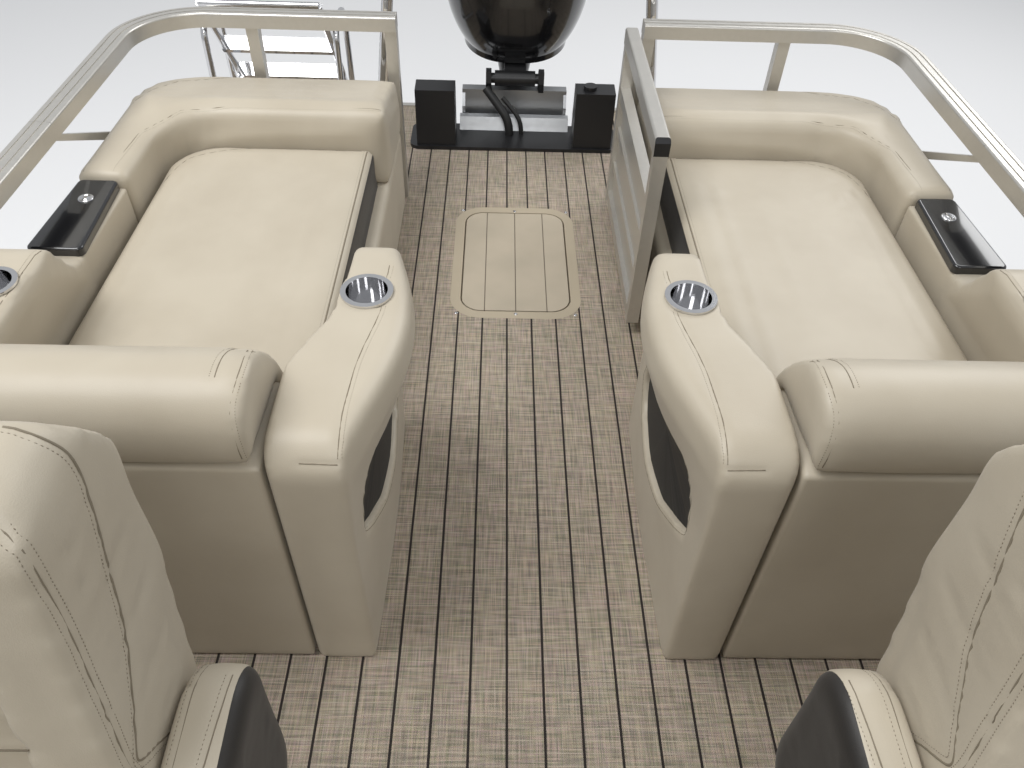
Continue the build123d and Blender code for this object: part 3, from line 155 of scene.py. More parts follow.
def vinyl(name, light, dark, roughness=0.42, grain=0.00012):
    """Marine vinyl: a fine pebbled grain, soft tone changes and a dull sheen."""
    made, tree, main, place = shader(name, Roughness=roughness, Specular_IOR_Level=0.42,
                                     Sheen_Weight=0.08, Sheen_Roughness=0.5)
    tone = remap(tree, noise(tree, place, 5.0, 3.0), From_Min=0.35, From_Max=0.65)
    tree.links.new(blend_colour(tree, tone, rgba(dark), rgba(light)), main.inputs["Base Color"])
    cells = node(tree, "ShaderNodeTexVoronoi", Vector=place, Scale=620.0).outputs["Distance"]
    folds = noise(tree, place, 14.0)
    bump(tree, main, number(tree, "MULTIPLY_ADD", folds, 9.0, cells), grain)
    return made


def metal(name, colour, roughness, metallic=1.0, streak=(60, 60, 60), streak_depth=0.00003):
    """A metal with fine scratches, which streak draws out along an axis."""
    made, tree, main, place = shader(name, Metallic=metallic)
    stretch = node(tree, "ShaderNodeMapping", Vector=place, Scale=streak).outputs[0]
    lines = noise(tree, stretch, 1.0, 4.0)
    rough = remap(tree, lines, To_Min=roughness * 0.8, To_Max=roughness * 1.3)
    tree.links.new(rough, main.inputs["Roughness"])
    base = blend_colour(tree, lines, rgba(colour, 0.9), rgba(colour))
    tree.links.new(base, main.inputs["Base Color"])
    bump(tree, main, lines, streak_depth)
    return made


def plastic(name, colour, roughness, grain_scale=900.0, grain=0.00005, coat=0.0):
    """Moulded plastic with a fine grain."""
    made, tree, main, place = shader(name, Roughness=roughness, Coat_Weight=coat,
                                     Coat_Roughness=0.05)
    base = blend_colour(tree, noise(tree, place, 9.0), rgba(colour, 0.88), rgba(colour))
    tree.links.new(base, main.inputs["Base Color"])
    bump(tree, main, noise(tree, place, grain_scale), grain)
    return made


def woven_floor():
    """Woven vinyl: crossed threads of mixed browns, pale picks and dark lengthwise seams."""
    warp_pitch, weft_pitch, pick_pitch = 0.0022, 0.0024, 0.0245
    made, tree, main, place = shader("floor_weave", Roughness=0.72, Specular_IOR_Level=0.3)
    axes = node(tree, "ShaderNodeSeparateXYZ", Vector=place)
    along, across = axes.outputs[0], axes.outputs[1]

    def threads(coordinate, pitch, other):
        """A random tone for each thread, which changes slowly along it."""
        index = number(tree, "FLOOR", number(tree, "DIVIDE", coordinate, pitch))
        drift = number(tree, "MULTIPLY", other, 9.0)
        spot = node(tree, "ShaderNodeCombineXYZ", X=index, Y=drift).outputs[0]
        return node(tree, "ShaderNodeTexNoise", Vector=spot, Scale=1.37, Detail=1.0).outputs

    def ripple(coordinate, pitch):
        """Threads that rise and sink in turn."""
        return number(tree, "SINE", number(tree, "MULTIPLY", coordinate, 2 * pi / (2 * pitch)))

    warp = threads(across, warp_pitch, along)
    weft = threads(along, weft_pitch, across)
    both = number(tree, "MULTIPLY", number(tree, "ADD", warp[0], weft[0]), 0.5)
    tone = remap(tree, both, From_Min=0.36, From_Max=0.64)
    base = blend_colour(tree, tone, rgba(WEAVE_DARK), rgba(WEAVE_PALE))
    hue = blend_colour(tree, 0.5, warp[1], weft[1])
    base = blend_colour(tree, 0.40, base, hue, "SOFT_LIGHT")

    pick = number(tree, "FRACT", number(tree, "DIVIDE", along, pick_pitch))
    pick = number(tree, "LESS_THAN", pick, 0.09)
    patch = remap(tree, noise(tree, place, 22.0), From_Min=0.4, From_Max=0.6,
                  To_Min=0.15, To_Max=0.75)
    base = blend_colour(tree, number(tree, "MULTIPLY", pick, patch), base, rgba(WEAVE_PICK))

    shifted = number(tree, "SUBTRACT", across, SEAM_START - SEAM_PITCH / 2)
    shifted = number(tree, "FRACT", number(tree, "DIVIDE", shifted, SEAM_PITCH))
    away = number(tree, "ABSOLUTE", number(tree, "SUBTRACT", shifted, 0.5))
    line = remap(tree, away, From_Min=0.030, From_Max=0.042, To_Min=1.0, To_Max=0.0)
    base = blend_colour(tree, line, base, rgba(WEAVE_SEAM))
    tree.links.new(base, main.inputs["Base Color"])
    crossing = number(tree, "MULTIPLY", ripple(across, warp_pitch), ripple(along, weft_pitch))
    bump(tree, main, number(tree, "SUBTRACT", crossing, line), 0.00035)
    return made


def lid_moulding():
    """The hatch lid: a fine grain and three narrow grooves along it, darkened with painted shade.
    """
    made, tree, main, place = shader("hatch_lid_moulding", Roughness=0.52)
    across = node(tree, "ShaderNodeSeparateXYZ", Vector=place).outputs[1]
    away = number(tree, "ABSOLUTE", across)
    outer = number(tree, "ABSOLUTE", number(tree, "SUBTRACT", away, LID_LINE))
    away = number(tree, "MINIMUM", away, outer)
    line = remap(tree, away, From_Min=0.0010, From_Max=0.0022, To_Min=1.0, To_Max=0.0)
    base = blend_colour(tree, noise(tree, place, 7.0), rgba(LID_DARK), rgba(LID_PALE))
    # The grooves' dark colour is painted shade
    base = blend_colour(tree, line, base, rgba(LID_GROOVE_SHADE))
    tree.links.new(base, main.inputs["Base Color"])
    grain, groove = noise(tree, place, 1400.0), number(tree, "MULTIPLY", line, 4.0)
    bump(tree, main, number(tree, "SUBTRACT", grain, groove), 0.00012)
    return made


def tinted_glass():
    """Smoked screen glass."""
    made, tree, main, place = shader("screen_glass", Base_Color=(0.35, 0.37, 0.38, 1),
                                     Roughness=0.03, Transmission_Weight=0.85, IOR=1.45)
    bump(tree, main, noise(tree, place, 7.0, 3.0), 0.0001)
    return made


cream = vinyl("cream_vinyl", CREAM, CREAM_DARK)
charcoal = vinyl("charcoal_vinyl", CHARCOAL, CHARCOAL_DARK, roughness=0.5)
beige = plastic("beige_moulding", (0.50, 0.435, 0.325), 0.5)
hatch_beige = plastic("hatch_moulding", (0.44, 0.375, 0.275), 0.55, grain_scale=1400.0,
                      grain=0.00012)
lid_plastic = lid_moulding()
black_gloss = plastic("black_gloss", BLACK, 0.16, grain=0.00001, coat=0.6)
black_satin = plastic("black_satin", (0.012, 0.012, 0.013), 0.38, grain=0.00008)
black_soft = plastic("black_soft", (0.02, 0.02, 0.02), 0.6, grain=0.0001)
rubber = plastic("black_rubber", (0.014, 0.014, 0.014), 0.55, grain_scale=400.0, grain=0.0001)
silver = metal("rail_silver", SILVER, 0.34, metallic=0.75)
aluminium = metal("bright_aluminium", (0.66, 0.67, 0.68), 0.26, streak=(4, 160, 160))
mill = metal("mill_aluminium", (0.5, 0.51, 0.52), 0.42)
chrome = metal("chrome", (0.74, 0.74, 0.75), 0.07, streak_depth=0.000002)
steel = metal("polished_steel", (0.6, 0.6, 0.6), 0.18)
iron = metal("cast_iron", (0.05, 0.05, 0.055), 0.6, metallic=0.6)
skin = plastic("panel_skin", (0.46, 0.41, 0.33), 0.3, coat=0.3)
floor_weave = woven_floor()
glass = tinted_glass()
thread_line = plastic("thread", THREAD, 0.7, grain_scale=2000.0)

NODE_MATERIALS = {
    floor_weave: ("deck",),
    aluminium: ("pontoon_port", "pontoon_centre", "pontoon_starboard"),
    mill: ("crossmembers", "motor_pod"),
    silver: ("deck_edge_trim", "stern_fence", "side_fence", "bow_fence", "stern_gate", "bow_gate",
             "side_gate", "chair_pedestals"),
    skin: ("fence_panels",),
    chrome: ("tow_bar", "ladder_grab_rails", "boarding_ladder", "cup_holders", "cleats"),
    # The floor locker's black is painted shade, for the dark hollow inside the locker
    black_satin: ("splash_well", "floor_locker", "throttle", "clamp_bracket", "swivel_bracket"),
    black_gloss: ("side_trays", "outboard_leg", "outboard_cowl"),
    black_soft: ("steering_wheel",),
    hatch_beige: ("hatch_ring",),
    lid_plastic: ("hatch_lid",),
    beige: ("lounger_bases", "bow_bases", "helm_console"),
    cream: ("mattresses", "stern_backrests", "bolsters", "aisle_arms", "side_arms",
            "chair_seat_port", "chair_back_port", "chair_seat_starboard", "chair_back_starboard",
            "bow_cushions", "bow_backrests"),
    iron: ("engine_block",),
    steel: ("propeller",),
    rubber: ("rigging_hoses",),
    glass: ("windscreen",),
}
for material, names in NODE_MATERIALS.items():
    for name in names:
        for material_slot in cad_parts[name].material_slots:
            material_slot.material = material


def add_piece(label, data, body):
    """A new piece, which rides on a body."""
    piece = bpy.data.objects.new(label, data)
    bpy.context.collection.objects.link(piece)
    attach(piece, body)
    return piece


# The soft pieces. One with a swell is inflated with cloth pressure, and the others, whose vinyl
# is drawn tight over its foam or shell, are only remeshed and evened out
GAP = 0.0012
FOOT = 0.006
HELD = 0.01
PRESSURE = 4.0
CLOTH_FRAMES = 20
EVENING_PASSES = 8
# Label: CAD node, slot, fill, voxel, smoothing passes and swell, which is how far the cloth may
# move a point, how far the piece may stand proud of its solid, and the ways in which it may
PADS = {
    "mattress": ("mattresses", "vinyl_cream", 0.8, 0.014, 3, (0.007, 0.007, (UP, IN))),
    "stern_backrest": ("stern_backrests", "vinyl_cream_back", 0.8, 0.014, 5,
                       (0.007, 0.006, (UP, IN, FORE))),
    "bolster": ("bolsters", "vinyl_cream_roll", 0.85, 0.012, 8, (0.007, 0.008, (FORE, UP, AFT))),
    "lounger_base": ("lounger_bases", "moulded_beige", 0.9, 0.014, 3, None),
    "aisle_arm": ("aisle_arms", "vinyl_arm", 0.9, 0.008, 7, None),
    "side_arm": ("side_arms", "vinyl_side_arm", 0.9, 0.009, 6, None),
    "chair_seat": ("chair_seat_port", "chair_vinyl", 0.85, 0.010, 5,
                   (0.005, 0.007, (UP, IN, OUT, FORE))),
    "chair_back": ("chair_back_port", "chair_back_vinyl", 0.85, 0.010, 6,
                   (0.006, 0.008, (UP, IN, OUT, FORE, AFT))),
    "bow_cushion": ("bow_cushions", "vinyl_bow_cushion", 0.8, 0.020, 2, (0.008, 0.008, (UP, IN))),
    "bow_backrest": ("bow_backrests", "vinyl_bow_back", 0.8, 0.020, 3,
                     (0.008, 0.006, (UP, IN, FORE))),
}


class Pad:
    """One soft piece of the port side, in the making."""

    def __init__(self, label, node_name, slot, fill, voxel, passes, swell):
        self.label = label
        self.node_name = node_name
        self.slot = slot
        self.fill = fill
        self.swell = swell
        self.on_chair = label.startswith("chair")
        source = bmesh.new()
        source.from_mesh(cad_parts[node_name].data)
        if not self.on_chair:
            doomed = [face for face in source.faces if face.calc_center_median().y < 0]
            bmesh.ops.delete(source, geom=doomed, context="FACES")
        bmesh.ops.remove_doubles(source, verts=source.verts, dist=0.00002)
        mesh = bpy.data.meshes.new(label)
        source.to_mesh(mesh)
        self.solid = BVHTree.FromBMesh(source)
        self.base = min(vertex.co.z for vertex in source.verts)
        source.free()
        self.shell = bpy.data.objects.new(label, mesh)
        bpy.context.collection.objects.link(self.shell)
        remesh = self.shell.modifiers.new("remesh", "REMESH")
        remesh.mode = "VOXEL"
        remesh.voxel_size = voxel
        soften = self.shell.modifiers.new("soften", "SMOOTH")
        soften.factor = 0.5
        soften.iterations = passes
        self.bake()
        for vertex in self.shell.data.vertices:
            if vertex.co.z < self.base + FOOT:
                vertex.co.z = self.base + GAP

    def bake(self):
        """Put the modifiers' result into the mesh."""
        graph = bpy.context.evaluated_depsgraph_get()
        made = bpy.data.meshes.new_from_object(self.shell.evaluated_get(graph))
        self.shell.modifiers.clear()
        self.shell.data = made

    def spots(self):
        """The vertices' places, as an array."""
        flat = np.empty(len(self.shell.data.vertices) * 3)
        self.shell.data.vertices.foreach_get("co", flat)
        return flat.reshape(-1, 3)

    def start(self):
        """Add the cloth, held at the base."""
        self.rest = self.spots()
        held = self.shell.vertex_groups.new(name="held")
        low = np.nonzero(self.rest[:, 2] < self.base + HELD)[0]
        held.add([int(index) for index in low], 1.0, "REPLACE")
        cloth = self.shell.modifiers.new("cloth", "CLOTH")
        cloth.settings.quality = 2
        cloth.settings.use_pressure = True
        cloth.settings.uniform_pressure_force = PRESSURE
        cloth.settings.vertex_group_mass = "held"
        cloth.settings.effector_weights.gravity = 0
        cloth.collision_settings.use_collision = False

    def finish(self):
        """Keep the cloth's shape, evened out, as far as the neighbours allow."""
        cap, proud, ways = self.swell
        ways = [Vector(way) for way in ways]
        self.bake()
        self.shell.vertex_groups.clear()
        mesh = self.shell.data
        move = self.spots() - self.rest
        ends = np.empty(len(mesh.edges) * 2, dtype=int)
        mesh.edges.foreach_get("vertices", ends)
        first, second = ends[::2], ends[1::2]
        weight = 1.0 + np.bincount(ends, minlength=len(move))
        for _ in range(EVENING_PASSES):
            total = move.copy()
            np.add.at(total, first, move[second])
            np.add.at(total, second, move[first])
            move = total / weight[:, None]
        length = np.maximum(np.linalg.norm(move, axis=1), 1e-9)
        move *= np.minimum(1.0, cap / length)[:, None]
        for vertex, place in zip(mesh.vertices, self.rest + move):
            spot = Vector(place)
            near, normal, _, distance = self.solid.find_nearest(spot)
            if near is None:
                continue
            facing = max([0.0] + [vertex.normal.dot(way) for way in ways])
            allowed = proud * facing * facing - GAP * (1 - facing)
            outside = distance if (spot - near).dot(normal) > 0 else -distance
            if outside > allowed:
                spot = spot - normal * (outside - allowed)
            spot.z = max(spot.z, self.base + GAP)
            vertex.co = spot

    def surface(self):
        """A fresh search tree of the mesh."""
        mesh = self.shell.data
        return BVHTree.FromPolygons([vertex.co for vertex in mesh.vertices],
                                    [tuple(face.vertices) for face in mesh.polygons])


def view_axes():
    """The photograph's camera: its directions forward, right and up."""
    yaw, pitch = radians(EYE_YAW), radians(EYE_PITCH)
    forward = Vector((-cos(pitch) * cos(yaw), cos(pitch) * sin(yaw), -sin(pitch)))
    level = forward.cross(Vector(UP)).normalized()
    right = Matrix.Rotation(radians(EYE_ROLL), 3, forward) @ level
    return forward, right, right.cross(forward)


def sight(px, py):
    """The direction from the eye through a point of the photograph."""
    forward, right, up = view_axes()
    scale = FILM_WIDTH / EYE_LENS / PHOTO_WIDTH
    return (forward + right * ((px - PHOTO_WIDTH / 2) * scale)
            - up * ((py - PHOTO_HEIGHT / 2) * scale)).normalized()


def seen(tree, points, side=1, shift=0.0):
    """Where a line of the photograph meets a port piece.

    With side -1 or a shift, the port piece stands in for its twin to starboard.
    """
    found = []
    for px, py in points:
        ray = sight(px, py)
        start = Vector((EYE.x, side * EYE.y + shift, EYE.z))
        hit = tree.ray_cast(start, Vector((ray.x, side * ray.y, ray.z)))[0]
        if hit is not None:
            found.append(hit)
    return found


def dense(points, step=0.005, passes=12):
    """A polyline's points, set close together and evened out."""
    line = [points[0].copy()]
    for before, after in zip(points, points[1:]):
        count = max(1, round((after - before).length / step))
        for part in range(1, count + 1):
            line.append(before.lerp(after, part / count))
    for _ in range(passes):
        inner = [(a + b * 2 + c) / 4 for a, b, c in zip(line, line[1:], line[2:])]
        line = [line[0]] + inner + [line[-1]]
    return line


def heading(spots, index):
    """The way a line runs at one of its points."""
    return spots[min(index + 1, len(spots) - 1)] - spots[max(index - 1, 0)]


def circle(made, centre, across, other, radius, sides):
    """A ring of vertices, in the plane of two directions."""
    turns = [2 * pi * side / sides for side in range(sides)]
    return [made.verts.new(centre + (across * cos(turn) + other * sin(turn)) * radius)
            for turn in turns]


def close_rings(made, rings):
    """Join rings and cap both ends. The faces between the rings are returned."""
    walls = []
    for first, second in zip(rings, rings[1:]):
        for side in range(len(first)):
            after = (side + 1) % len(first)
            walls.append(made.faces.new((first[side], first[after], second[after], second[side])))
    made.faces.new(list(reversed(rings[0])))
    made.faces.new(rings[-1])
    return walls


def tube(made, spots, radius, sides=5):
    """A thin tube along a line, added to a bmesh."""
    rings = []
    across = None
    for index, spot in enumerate(spots):
        ahead = heading(spots, index)
        if ahead.length < 1e-9:
            continue
        if across is None:
            across = ahead.orthogonal().normalized()
        else:
            across = (across - ahead * across.dot(ahead) / ahead.length_squared).normalized()
        rings.append(circle(made, spot, across, ahead.normalized().cross(across), radius, sides))
    if len(rings) > 1:
        close_rings(made, rings)


def stitch(threads, first, second, normal):
    """One stitch, a thin spindle that lies between two places of its row."""
    along = second - first
    if along.length < 1e-6:
        return
    start, end = first + along * 0.15, first + along * 0.8
    across = along.cross(normal).normalized() * 0.0006
    top = normal * 0.0007
    middle = (start + end) / 2
    ring = [threads.verts.new(middle + away) for away in (across, top, -across, -top)]
    tips = threads.verts.new(start), threads.verts.new(end)
    for side in range(4):
        after = (side + 1) % 4
        threads.faces.new((ring[side], ring[after], tips[1]))
        threads.faces.new((ring[after], ring[side], tips[0]))


def seam(pad, threads, points, groove=0.0022, reach=0.014, radius=0.0011, stitches=(0.008,)):
    """Pull the surface in along a line, and lay the seam and its rows of stitches there."""
    if len(points) < 2:
        return
    tree = pad.surface()
    laid = []
    for spot in dense(points):
        near, normal, _, distance = tree.find_nearest(spot)
        if near is not None and distance < 0.05:
            laid.append((near, normal))
    if len(laid) < 3:
        return
    finder = kdtree.KDTree(len(laid))
    for index, (spot, _) in enumerate(laid):
        finder.insert(spot, index)
    finder.balance()
    for vertex in pad.shell.data.vertices:
        _, index, distance = finder.find(vertex.co)
        if distance < reach:
            vertex.co -= laid[index][1] * groove * (1 - distance / reach) ** 2
    depth = groove * 0.75 + 0.0002
    tube(threads, [spot - normal * depth for spot, normal in laid], radius)
    line = [spot for spot, _ in laid]
    for offset in stitches:
        row = []
        for index, (spot, normal) in enumerate(laid):
            side = heading(line, index).cross(normal)
            if side.length > 1e-9:
                near, facing, _, _ = tree.find_nearest(spot + side.normalized() * offset)
                row.append((near - facing * groove * 0.2, facing))
        for (first, facing), (second, _) in zip(row, row[1:]):
            stitch(threads, first, second, facing)


def on_side(mesh, materials, side, shift):
    """A smooth copy of a mesh, on its side of the boat."""
    copy = mesh.copy()
    work = bmesh.new()
    work.from_mesh(copy)
    for vertex in work.verts:
        vertex.co.y = vertex.co.y * side + shift
    if side < 0:
        bmesh.ops.reverse_faces(work, faces=work.faces)
    work.to_mesh(copy)
    work.free()
    copy.polygons.foreach_set("use_smooth", [True] * len(copy.polygons))
    # Clearing the slots would also clear the faces' choices of them
    painted = [face.material_index for face in copy.polygons]
    copy.materials.clear()
    for material in materials:
        copy.materials.append(material)
    copy.polygons.foreach_set("material_index", painted)
    return copy


def place_pad(pad, hand, body, node_name, seams, side=1, shift=0.0):
    """Set a pad in place of its CAD solid, with its seams."""
    label = f"{pad.label}_pad_{hand}"
    mesh = on_side(pad.shell.data, (cream, charcoal), side, shift)
    piece = add_piece(label, mesh, body)
    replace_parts(piece, node_name)
    if seams is not None:
        mesh = on_side(seams, (thread_line,), side, shift)
        add_piece(label + "_seams", mesh, body)


def keep_cup(pad, x, y, top):
    """Hold a pad clear of its cup's bore, and just under the cup's flange."""
    bore, flange = 0.0437, 0.062
    for vertex in pad.shell.data.vertices:
        spot = vertex.co.copy()
        away = Vector((spot.x - x, spot.y - y))
        if away.length > flange or spot.z < top - 0.12:
            continue
        if away.length < bore and spot.z < top + 0.01:
            away = away.normalized() * bore
            spot.x, spot.y = x + away.x, y + away.y
        if spot.z > top - 0.012:
            spot.z = top - 0.0008
        vertex.co = spot


def slice_at(pad, level):
    """Cut a pad's faces along a plane across y, so that a painted panel ends on a clean line."""
    work = bmesh.new()
    work.from_mesh(pad.shell.data)
    bmesh.ops.bisect_plane(work, geom=work.verts[:] + work.edges[:] + work.faces[:],
                           plane_co=(0, level, 0), plane_no=(0, 1, 0))
    work.to_mesh(pad.shell.data)
    work.free()


def paint(mesh, rule):
    """Give the second material to the faces that a rule picks by centre and normal."""
    for face in mesh.polygons:
        face.material_index = 1 if rule(face.center, face.normal) else 0


pads = {label: Pad(label, *row) for label, row in PADS.items()}
threads = {label: bmesh.new() for label in pads}
swollen = [pad for pad in pads.values() if pad.swell]
for pad in swollen:
    pad.start()
for moment in range(1, CLOTH_FRAMES + 1):
    bpy.context.scene.frame_set(moment)
for pad in swollen:
    pad.finish()
bpy.context.scene.frame_set(1)
keep_cup(pads["aisle_arm"], -1.190, 0.310, DECK + 0.660)
keep_cup(pads["side_arm"], -1.230, 1.048, DECK + 0.630)

# The charcoal panels: the mattresses' aisle sides and the outsides of the chairs' arms
for level in (CHAIR_Y - CHAIR_ARM_SIDE, CHAIR_Y + CHAIR_ARM_SIDE):
    slice_at(pads["chair_seat"], level)
slice_at(pads["mattress"], AISLE_BAND_Y)
paint(pads["mattress"].shell.data,
      lambda at, facing: facing.y < -0.3 and at.y < AISLE_BAND_Y and at.z < DECK + AISLE_BAND_TOP)
paint(pads["chair_seat"].shell.data, lambda at, facing: abs(at.y - CHAIR_Y) > CHAIR_ARM_SIDE)

# Seams that the photograph shows, in its pixels
ARM_CROWN = ((389.5, 264.9), (386.5, 290.9), (380.5, 310.8), (372.5, 327.7), (363.2, 346),
             (355.5, 364.4), (347.9, 390.4), (342.5, 410.3), (338.7, 436.3), (337.5, 459.3))
ARM_FRONT = ((337.5, 465.4), (320, 464.8), (298.5, 463.9), (262, 462.5))
BOLSTER_END = ((247.8, 349.5), (243, 360.6), (235.3, 383.6), (228.6, 406.5), (229.6, 419.9),
               (234.4, 439), (242, 460))
BOLSTER_TOP = ((291, 354), (273.6, 354.3), (256, 351.5), (249.5, 350.5))
CHAIR_AFT = ((2.3, 425.5), (35.2, 435.5), (68.1, 450), (82.2, 472.8), (93.9, 508),
             (105.7, 552.6), (117.4, 594.9), (126.8, 634.8), (133.5, 693.5), (136.5, 728.7),
             (137, 766))
CHAIR_FRONT = ((0.5, 529), (14, 541), (30.5, 562), (47, 587.8), (63.4, 616), (79.8, 651),
               (93.9, 684), (108, 717), (122, 747.5), (130, 766))
CHAIR_ARM = ((233, 674), (224, 700.5), (214.5, 728.7), (203, 767))

# The outline of the pocket in the aisle arm, as x from the arm's front and height over the deck
ARM_FRONT_X = -0.78
LEAF = ((-0.599, 0.262), (-0.572, 0.340), (-0.455, 0.418), (-0.270, 0.492), (-0.118, 0.515),
        (-0.084, 0.345), (-0.247, 0.240), (-0.419, 0.188), (-0.560, 0.200))


def on_deck(*places):
    """Places in metres, their heights above the deck."""
    return [Vector((x, y, DECK + z)) for x, y, z in places]


def sew(label, points, mirrored=False, **style):
    """Sew one seam, and its twin on the other side of a chair."""
    seam(pads[label], threads[label], points, **style)
    if mirrored:
        twin = [Vector((spot.x, 2 * CHAIR_Y - spot.y, spot.z)) for spot in points]
        seam(pads[label], threads[label], twin, **style)


def pocket_shade_sheet(arm):
    """Put a dark sheet in the mouth of each aisle arm's pocket, painted shade that stands in for
    the pocket's depth, and give the line of its rim.
    """
    leaf = [(ARM_FRONT_X + x, DECK + z) for x, z in LEAF]
    centre_x = sum(x for x, z in leaf) / len(leaf)
    centre_z = sum(z for x, z in leaf) / len(leaf)
    mouth = dense([Vector((x, 0, z)) for x, z in leaf + leaf[:1]], step=0.012)
    shade_sheet = bmesh.new()
    rim, ring = [], []
    for spot in mouth[:-1]:
        out = Vector((spot.x - centre_x, 0, spot.z - centre_z)).normalized()
        hit = arm.ray_cast(spot + out * 0.016, Vector(OUT))[0]
        if hit is not None and hit.y < 0.40:
            rim.append(hit)
            ring.append(shade_sheet.verts.new(Vector((spot.x, hit.y + 0.013, spot.z)) + out * 0.005))
    depth = sum(vertex.co.y for vertex in ring) / len(ring) + 0.012
    deep = shade_sheet.verts.new((centre_x, depth, centre_z))
    for first, second in zip(ring, ring[1:] + ring[:1]):
        shade_sheet.faces.new((first, second, deep))
    bmesh.ops.recalc_face_normals(shade_sheet, faces=shade_sheet.faces)
    mesh = bpy.data.meshes.new("pocket_shade_sheet")
    shade_sheet.to_mesh(mesh)
    shade_sheet.free()
    # The sheet's black is painted shade, standing in for the shade deep inside the pocket
    mesh.materials.append(black_soft)
    for hand, side in HANDS:
        copy = mesh.copy()
        for vertex in copy.vertices:
            vertex.co.y *= side
        add_piece("pocket_shade_sheet_" + hand, copy, "boat")
    return rim + rim[:1]


arm = pads["aisle_arm"].surface()
sew("aisle_arm", seen(arm, ARM_CROWN, side=-1))
sew("aisle_arm", seen(arm, ARM_FRONT, side=-1), stitches=())
sew("aisle_arm", pocket_shade_sheet(arm), groove=0.0015, reach=0.01, stitches=(0.007,))

roll = pads["bolster"].surface()
sew("bolster", seen(roll, BOLSTER_END, side=-1))
sew("bolster", seen(roll, BOLSTER_TOP, side=-1), stitches=())
sew("bolster", on_deck((-0.846, 0.487, 0.775), (-0.91, 0.487, 0.765), (-0.97, 0.487, 0.70),
                       (-1.03, 0.487, 0.57), (-1.06, 0.487, 0.44), (-1.06, 0.487, 0.31)))
sew("bolster", on_deck((-1.0, 1.155, 0.62), (-0.95, 1.15, 0.72), (-0.85, 1.15, 0.77),
                       (-0.78, 1.15, 0.66), (-0.77, 1.15, 0.50)), stitches=())

sew("mattress", on_deck((-2.17, 0.452, 0.42), (-1.6, 0.452, 0.42), (-1.085, 0.452, 0.42)),
    radius=0.0022, stitches=(-0.008,), groove=0.0012)
sew("mattress", on_deck((-2.17, 0.47, 0.42), (-2.175, 0.80, 0.42), (-2.10, 0.96, 0.42),
                        (-1.98, 1.0, 0.42), (-1.085, 1.0, 0.42)), stitches=())
sew("stern_backrest", on_deck((-2.235, 0.41, 0.515), (-2.235, 0.85, 0.515), (-2.20, 0.99, 0.515),
                              (-2.07, 1.065, 0.515), (-1.86, 1.075, 0.515)))
sew("stern_backrest", on_deck((-2.545, 0.41, 0.47), (-2.545, 0.9, 0.47), (-2.46, 1.08, 0.49),
                              (-2.25, 1.145, 0.51), (-1.86, 1.148, 0.515)), stitches=())
sew("side_arm", on_deck((-1.07, 1.004, 0.63), (-1.36, 1.004, 0.63)))

# The chairs' seams, and the quilted channels of their backs and seats
back = pads["chair_back"].surface()
aft_line = seen(back, CHAIR_AFT, shift=2 * CHAIR_Y)
front_line = seen(back, CHAIR_FRONT, shift=2 * CHAIR_Y)
sew("chair_back", aft_line + on_deck((-0.42, CHAIR_Y + 0.2, 0.60), (-0.40, CHAIR_Y + 0.2, 0.45)),
    mirrored=True, radius=0.0016)
sew("chair_back",
    front_line + on_deck((-0.30, CHAIR_Y + 0.19, 0.62), (-0.27, CHAIR_Y + 0.18, 0.50)),
    mirrored=True, stitches=(0.008, -0.008))
for height in (0.56, 0.615, 0.67, 0.725, 0.78, 0.835, 0.89, 0.945):
    wave = 0.006 * sin(height * 40)
    sew("chair_back", on_deck((-0.24, CHAIR_Y - 0.118, height), (-0.24, CHAIR_Y, height + wave),
                              (-0.24, CHAIR_Y + 0.118, height)),
        groove=0.006, reach=0.026, stitches=())
for x in (-0.20, -0.14, -0.08, -0.02, 0.04):
    sew("chair_seat", on_deck((x, CHAIR_Y - 0.16, 0.48), (x + 0.006, CHAIR_Y, 0.48),
                              (x, CHAIR_Y + 0.16, 0.48)), groove=0.006, reach=0.026, stitches=())
edge = seen(pads["chair_seat"].surface(), CHAIR_ARM, shift=2 * CHAIR_Y)
sew("chair_seat",
    edge + on_deck((-0.18, CHAIR_Y + 0.262, 0.69), (-0.02, CHAIR_Y + 0.262, 0.66)), mirrored=True)
sew("chair_seat", on_deck((-0.45, CHAIR_Y + 0.232, 0.62), (-0.44, CHAIR_Y + 0.232, 0.69),
                          (-0.38, CHAIR_Y + 0.230, 0.705), (-0.18, CHAIR_Y + 0.230, 0.70),
                          (-0.02, CHAIR_Y + 0.230, 0.68)), mirrored=True)

for x in (1.45, 1.95, 2.45):
    sew("bow_cushion", on_deck((x, 0.60, 0.425), (x, 1.02, 0.425)), groove=0.004, reach=0.02)

for label, pad in pads.items():
    seams = None
    if len(threads[label].verts):
        seams = bpy.data.meshes.new(label + "_seams")
        threads[label].to_mesh(seams)
    threads[label].free()
    for hand, side in HANDS:
        if pad.on_chair:
            place_pad(pad, hand, f"chair_{hand}", f"{label}_{hand}", seams,
                      shift=(side - 1) * CHAIR_Y)
        else:
            place_pad(pad, hand, "boat", pad.node_name, seams, side=side)
    bpy.data.objects.remove(pad.shell)


def fitted(name, body="boat", move=None, rule=None, materials=()):
    """A copy of a CAD node in its place, bent or painted to follow the photograph more closely."""
    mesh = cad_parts[name].data.copy()
    if move:
        for vertex in mesh.vertices:
            vertex.co = move(vertex.co.copy())
    if rule:
        mesh.materials.clear()
        for material in materials:
            mesh.materials.append(material)
        paint(mesh, rule)
    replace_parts(add_piece(name + "_fitted", mesh, body), name)


